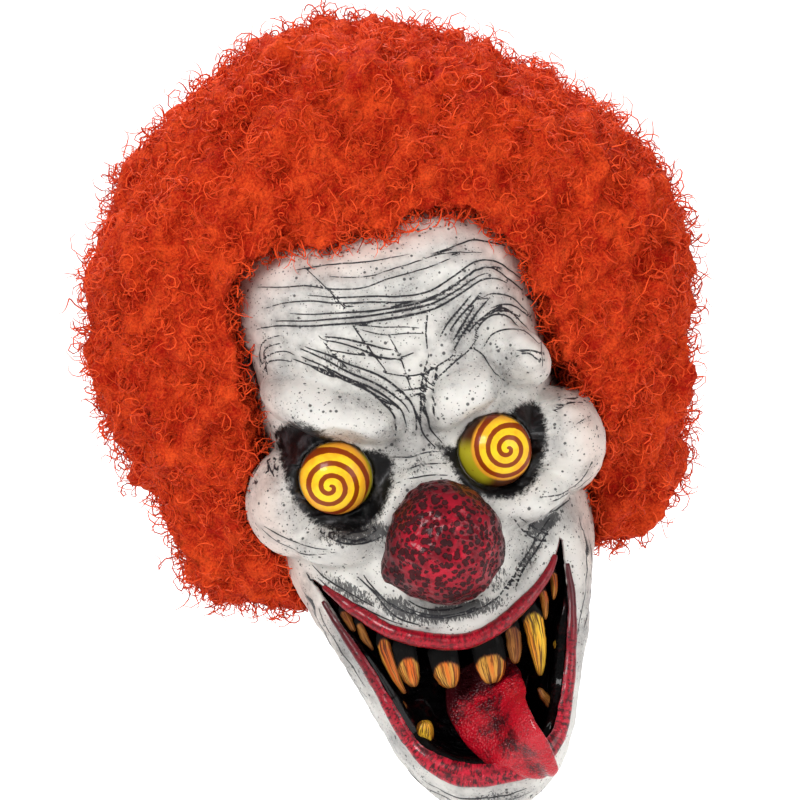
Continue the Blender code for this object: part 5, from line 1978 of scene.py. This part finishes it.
@dataclass
class Wig:
    """A frizzy wig: a lumpy mass cut round the face, with thousands of curled strands on it."""

    skin: Skin
    voxel: float = 0.0038
    shrink: float = 0.0030
    waves: tuple[Wave, ...] = (Wave(0.0044, 0.021, 41), Wave(0.0022, 0.009, 42))
    mass_gap: float = 0.0012
    strands: int = 8800
    pieces: int = 4
    segments: int = 9
    clear_of_skin: float = 0.0050
    fringe: int = 2600
    fringe_clear: float = 0.0008
    fringe_reach: float = 0.0070
    fringe_front: float = -0.005
    fringe_inward: float = 0.7
    fringe_forward: float = 1.1
    face_middle: Triple = (0.0, 0.0, -0.06)
    curl_height: Pair = (0.003, 0.012)
    curl_radius: Pair = (0.0024, 0.0062)
    curl_turns: Pair = (0.8, 1.6)
    curl_lean: Pair = (0.2, 0.9)
    curl_drift: float = 0.0035
    strand_radius: Pair = (0.00028, 0.00056)
    root_depth: float = 0.001
    tube_sides: int = 3
    root_seed: int = 77
    curl_seed: int = 100
    finish: CurlFinish = CurlFinish()

    def mass(self) -> Item:
        """Copies the wig's solid, remeshes it finely and roughens it."""
        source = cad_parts["hair"]
        item = source.copy()
        item.data = source.data.copy()
        item.animation_data_clear()
        for key in list(item.keys()):
            del item[key]
        item.parent = None
        item.name = item.data.name = "wig_mass"
        bpy.context.collection.objects.link(item)
        face_outwards(item)
        remesh = item.modifiers.new("even", "REMESH")
        remesh.mode = "VOXEL"
        remesh.voxel_size = self.voxel
        smooth = item.modifiers.new("soft", "SMOOTH")
        smooth.factor = 0.5
        smooth.iterations = 3
        apply_modifiers(item)
        mesh = item.data
        places, normals = read(mesh.vertices, "co").astype(float), read(mesh.vertices, "normal")
        places += normals * (ripple(places, *self.waves) - self.shrink)[:, None]
        places = self.skin.rest(places, self.mass_gap)
        mesh.vertices.foreach_set("co", places.ravel())
        mesh.update()
        mesh.shade_smooth()
        enrol(item, self.finish.base(), "curls", "hair")
        return item

    def roots(self, mass: Item) -> tuple[Array, Array]:
        """Seeded places and outward ways of the strands, spread evenly by area over what shows.

        Args:
            mass: the wig's mass.

        Returns:
            Places and unit normals.
        """
        faces = mass.data.polygons
        middle, normal = read(faces, "center").astype(float), read(faces, "normal").astype(float)
        area = read(faces, "area", 1)[:, 0]
        picks = np.random.default_rng(self.root_seed)
        away = self.skin.height(middle)
        weight = area * (away > self.clear_of_skin)
        chosen = picks.choice(len(faces), self.strands, p=weight / weight.sum())
        brink = area * (away > self.fringe_clear) * (away < self.fringe_reach)
        brink *= middle[:, 1] < self.fringe_front
        fringe = picks.choice(len(faces), self.fringe, p=brink / brink.sum())
        inward = self.fringe_inward * unit(np.array(self.face_middle) - middle[fringe])
        forward = unit(normal[fringe] + inward + np.array([0.0, -self.fringe_forward, 0.0]))
        ways = np.concatenate([normal[chosen], forward])
        chosen = np.concatenate([chosen, fringe])
        return middle[chosen] + picks.normal(scale=0.4 * self.voxel, size=(len(chosen), 3)), ways

    def curl_mesh(self, roots: Array, ways: Array, seed: int) -> tuple[Array, Array, Array]:
        """Closed three-sided tubes along small curls.

        Args:
            roots, ways: where each strand starts and points.
            seed: picks its curl.

        Returns:
            Points, faces as triangles and a colour for each point.
        """
        picks = np.random.default_rng(seed)
        count, steps, sides = len(roots), self.segments + 1, self.tube_sides
        one_each = (count, 1)
        first = unit(np.cross(ways, picks.normal(size=(count, 3))))
        lean = picks.uniform(*self.curl_lean, one_each)
        second = unit(np.cross(ways, first) * (1 - lean) + ways * lean)
        share = np.linspace(0, 1, steps)
        height = picks.uniform(*self.curl_height, one_each) * share
        drift = picks.normal(scale=self.curl_drift, size=(count, 3))
        radius = picks.uniform(*self.curl_radius, one_each) * (0.55 + 0.45 * np.sin(math.pi * share)) ** 0.7
        turns = picks.uniform(*self.curl_turns, one_each) * picks.choice([-1, 1], one_each)
        phase = picks.uniform(0, 2 * math.pi, one_each) + 2 * math.pi * turns * share
        line = roots[:, None] + drift[:, None] * share[None, :, None]
        for way, reach in ((ways, height - self.root_depth), (first, radius * np.cos(phase)),
                           (second, radius * np.sin(phase))):
            line = line + way[:, None] * reach[..., None]
        along = unit(np.gradient(line, axis=1))
        across = unit(np.cross(along, ways[:, None] + 0.31 * first[:, None]))
        third = np.cross(along, across)
        thick = picks.uniform(*self.strand_radius, one_each) * np.clip(1.15 - share**3, 0.2, 1)
        turn = full_turn(sides)
        ring = across[:, :, None] * np.cos(turn)[:, None] + third[:, :, None] * np.sin(turn)[:, None]
        points = line[:, :, None] + ring * thick[:, :, None, None]
        number = np.arange(steps * sides).reshape(steps, sides)
        after = np.roll(number, -1, 1)
        one = np.stack([number[:-1], after[:-1], after[1:]], -1).reshape(-1, 3)
        two = np.stack([number[:-1], after[1:], number[1:]], -1).reshape(-1, 3)
        shape = np.concatenate([one, two, [number[0, ::-1], number[-1]]])
        faces = (shape[None] + (np.arange(count) * steps * sides)[:, None, None]).reshape(-1, 3)
        # Dark at the root and lighter towards the tip: a random tone for each strand, with painted shade
        # towards the root inside the mass.
        mix = np.clip(picks.uniform(0.4, 1.1, (count, 1)) * (0.5 + 0.6 * share), 0, 1)[..., None]
        paint = np.array(self.finish.dark) * (1 - mix) + np.array(self.finish.light) * mix
        paint = np.concatenate([paint, np.ones((count, steps, 1))], -1)
        return points.reshape(-1, 3), faces, np.repeat(paint, sides, axis=1).reshape(-1, 4)

    def build(self) -> None:
        """Builds the mass and its strands."""
        mass = self.mass()
        roots, ways = self.roots(mass)
        order = np.argsort(roots[:, 0])
        finish = self.finish.strand()
        for part, chosen in enumerate(np.array_split(order, self.pieces), 1):
            points, faces, paint = self.curl_mesh(roots[chosen], ways[chosen], self.curl_seed + part)
            item = new_piece(f"wig_strands_{part}", points, faces.tolist())
            attribute = item.data.attributes.new("strand", "FLOAT_COLOR", "POINT")
            attribute.data.foreach_set("color", paint.astype(np.float32).ravel())
            item.data.materials.append(finish)
            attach(item, BODY)
            LOG.info("%s: %d faces", item.name, len(item.data.polygons))


@dataclass
class Studio:
    """A pale seamless sweep under an even sky, with soft lights on the mask and on the wall behind it."""

    floor_z: float = -0.62
    depth: float = 5.0
    half_width: float = 6.0
    wall: float = 6.0
    bend: float = 1.6
    pale: Colour = (0.90, 0.90, 0.90)
    sky: float = 0.38

    def floor(self) -> None:
        """Adds a plane, draws its far edge up and rounds the bend."""
        bpy.ops.object.select_all(action="DESELECT")
        bpy.ops.mesh.primitive_plane_add(size=2.0, location=(0, 0, self.floor_z))
        item = bpy.context.active_object
        item.name = "studio_sweep"
        for vertex in item.data.vertices:
            vertex.co.x *= self.half_width
            vertex.co.y = self.depth if vertex.co.y > 0 else -self.depth
        bpy.ops.object.transform_apply(location=True, rotation=True, scale=True)
        with editing():
            bpy.ops.mesh.select_mode(type="EDGE")
            bpy.ops.mesh.select_all(action="DESELECT")
        places = [vertex.co for vertex in item.data.vertices]
        for edge in item.data.edges:
            edge.select = all(places[i].y > 0 for i in edge.vertices)
        bpy.ops.object.mode_set(mode="EDIT")
        bpy.ops.mesh.extrude_region_move(TRANSFORM_OT_translate={"value": (0.0, 0.0, self.wall)})
        bpy.ops.mesh.select_all(action="SELECT")
        bpy.ops.mesh.normals_make_consistent(inside=False)
        bpy.ops.object.mode_set(mode="OBJECT")
        bevel = item.modifiers.new("sweep", "BEVEL")
        bevel.width = self.bend
        bevel.segments = 24
        apply_modifiers(item)
        item.data.shade_smooth()
        f = Finish("studio_paper")
        cloud = f.noise(3.0, 2.0, 0.5)
        low = tuple(0.97 * channel for channel in self.pale)
        item.data.materials.append(f.close(f.mix(cloud, low, self.pale), 0.9))

    def lamp(self, name: str, place: Triple, power: float, size: float,
             aim: Triple = (0.0, -0.05, -0.12)) -> None:
        """Adds a soft square light.

        Args:
            name: its name.
            place: where it stands.
            power: watts.
            size: side in metres.
            aim: what it faces.
        """
        data = bpy.data.lights.new(name, "AREA")
        data.energy = power
        data.size = size
        lamp = bpy.data.objects.new(name, data)
        bpy.context.collection.objects.link(lamp)
        lamp.location = place
        way = Vector(place) - Vector(aim)
        lamp.rotation_euler = way.to_track_quat("Z", "Y").to_euler()

    def build(self) -> None:
        """Adds the sweep, the sky and the lights."""
        self.floor()
        world = bpy.data.worlds.new("studio_sky")
        world.use_nodes = True
        sky = world.node_tree.nodes["Background"]
        sky.inputs["Color"].default_value = (1.0, 1.0, 1.0, 1.0)
        sky.inputs["Strength"].default_value = self.sky
        bpy.context.scene.world = world
        bpy.context.scene.view_settings.view_transform = "Standard"
        self.lamp("key", (-1.3, -2.2, 1.5), 58.0, 1.0)
        self.lamp("fill", (1.9, -1.9, 0.3), 22.0, 1.4)
        self.lamp("crown_light", (0.3, 1.3, 1.9), 44.0, 1.0)
        for name, side in (("wall_light_left", -1.0), ("wall_light_right", 1.0)):
            self.lamp(name, (1.7 * side, 1.8, 3.2), 110.0, 2.2, (0.8 * side, 5.0, 0.6))


def main() -> None:
    """Builds the mask, the studio and the view, in order."""
    logging.basicConfig(level=logging.INFO, format="%(message)s")
    view = PhotoView()
    view.build()
    Studio().build()
    form = HeadForm()
    mouth = MouthForm()
    skin = LatexSkin(form, mouth, view).build()
    left = EyeFinish(spiral=(-0.0527, -0.1475), green_place=(-0.0280, -0.1480), disc=(-0.0502, -0.1447),
                     disc_radius=0.0208, pitch=0.0066)
    right = EyeFinish(spiral=(0.0490, -0.1455), green_place=(0.0260, -0.1530), disc=(0.0478, -0.1450),
                      disc_radius=0.0186, pitch=0.0062)
    for side, place, finish in zip(Side, form.eye_places, (left, right)):
        Eye(side, place, finish).build()
    Nose(form, skin).build()
    upper = LipFinish("upper_lip_gloss", srgb(172, 8, 34), srgb(60, 3, 12), 0.80)
    lower = LipFinish("lower_lip_gloss", srgb(188, 20, 46), srgb(42, 4, 10), 0.95)
    Lip(Edge.UPPER, mouth, skin, upper).build()
    Lip(Edge.LOWER, mouth, skin, lower, swell=0.60, dark_ends=0.9).build()
    Lining(mouth, skin).build()
    Teeth(mouth, skin).build()
    Tongue(mouth, skin).build()
    Wig(skin).build()


if __name__ == "__main__":
    main()
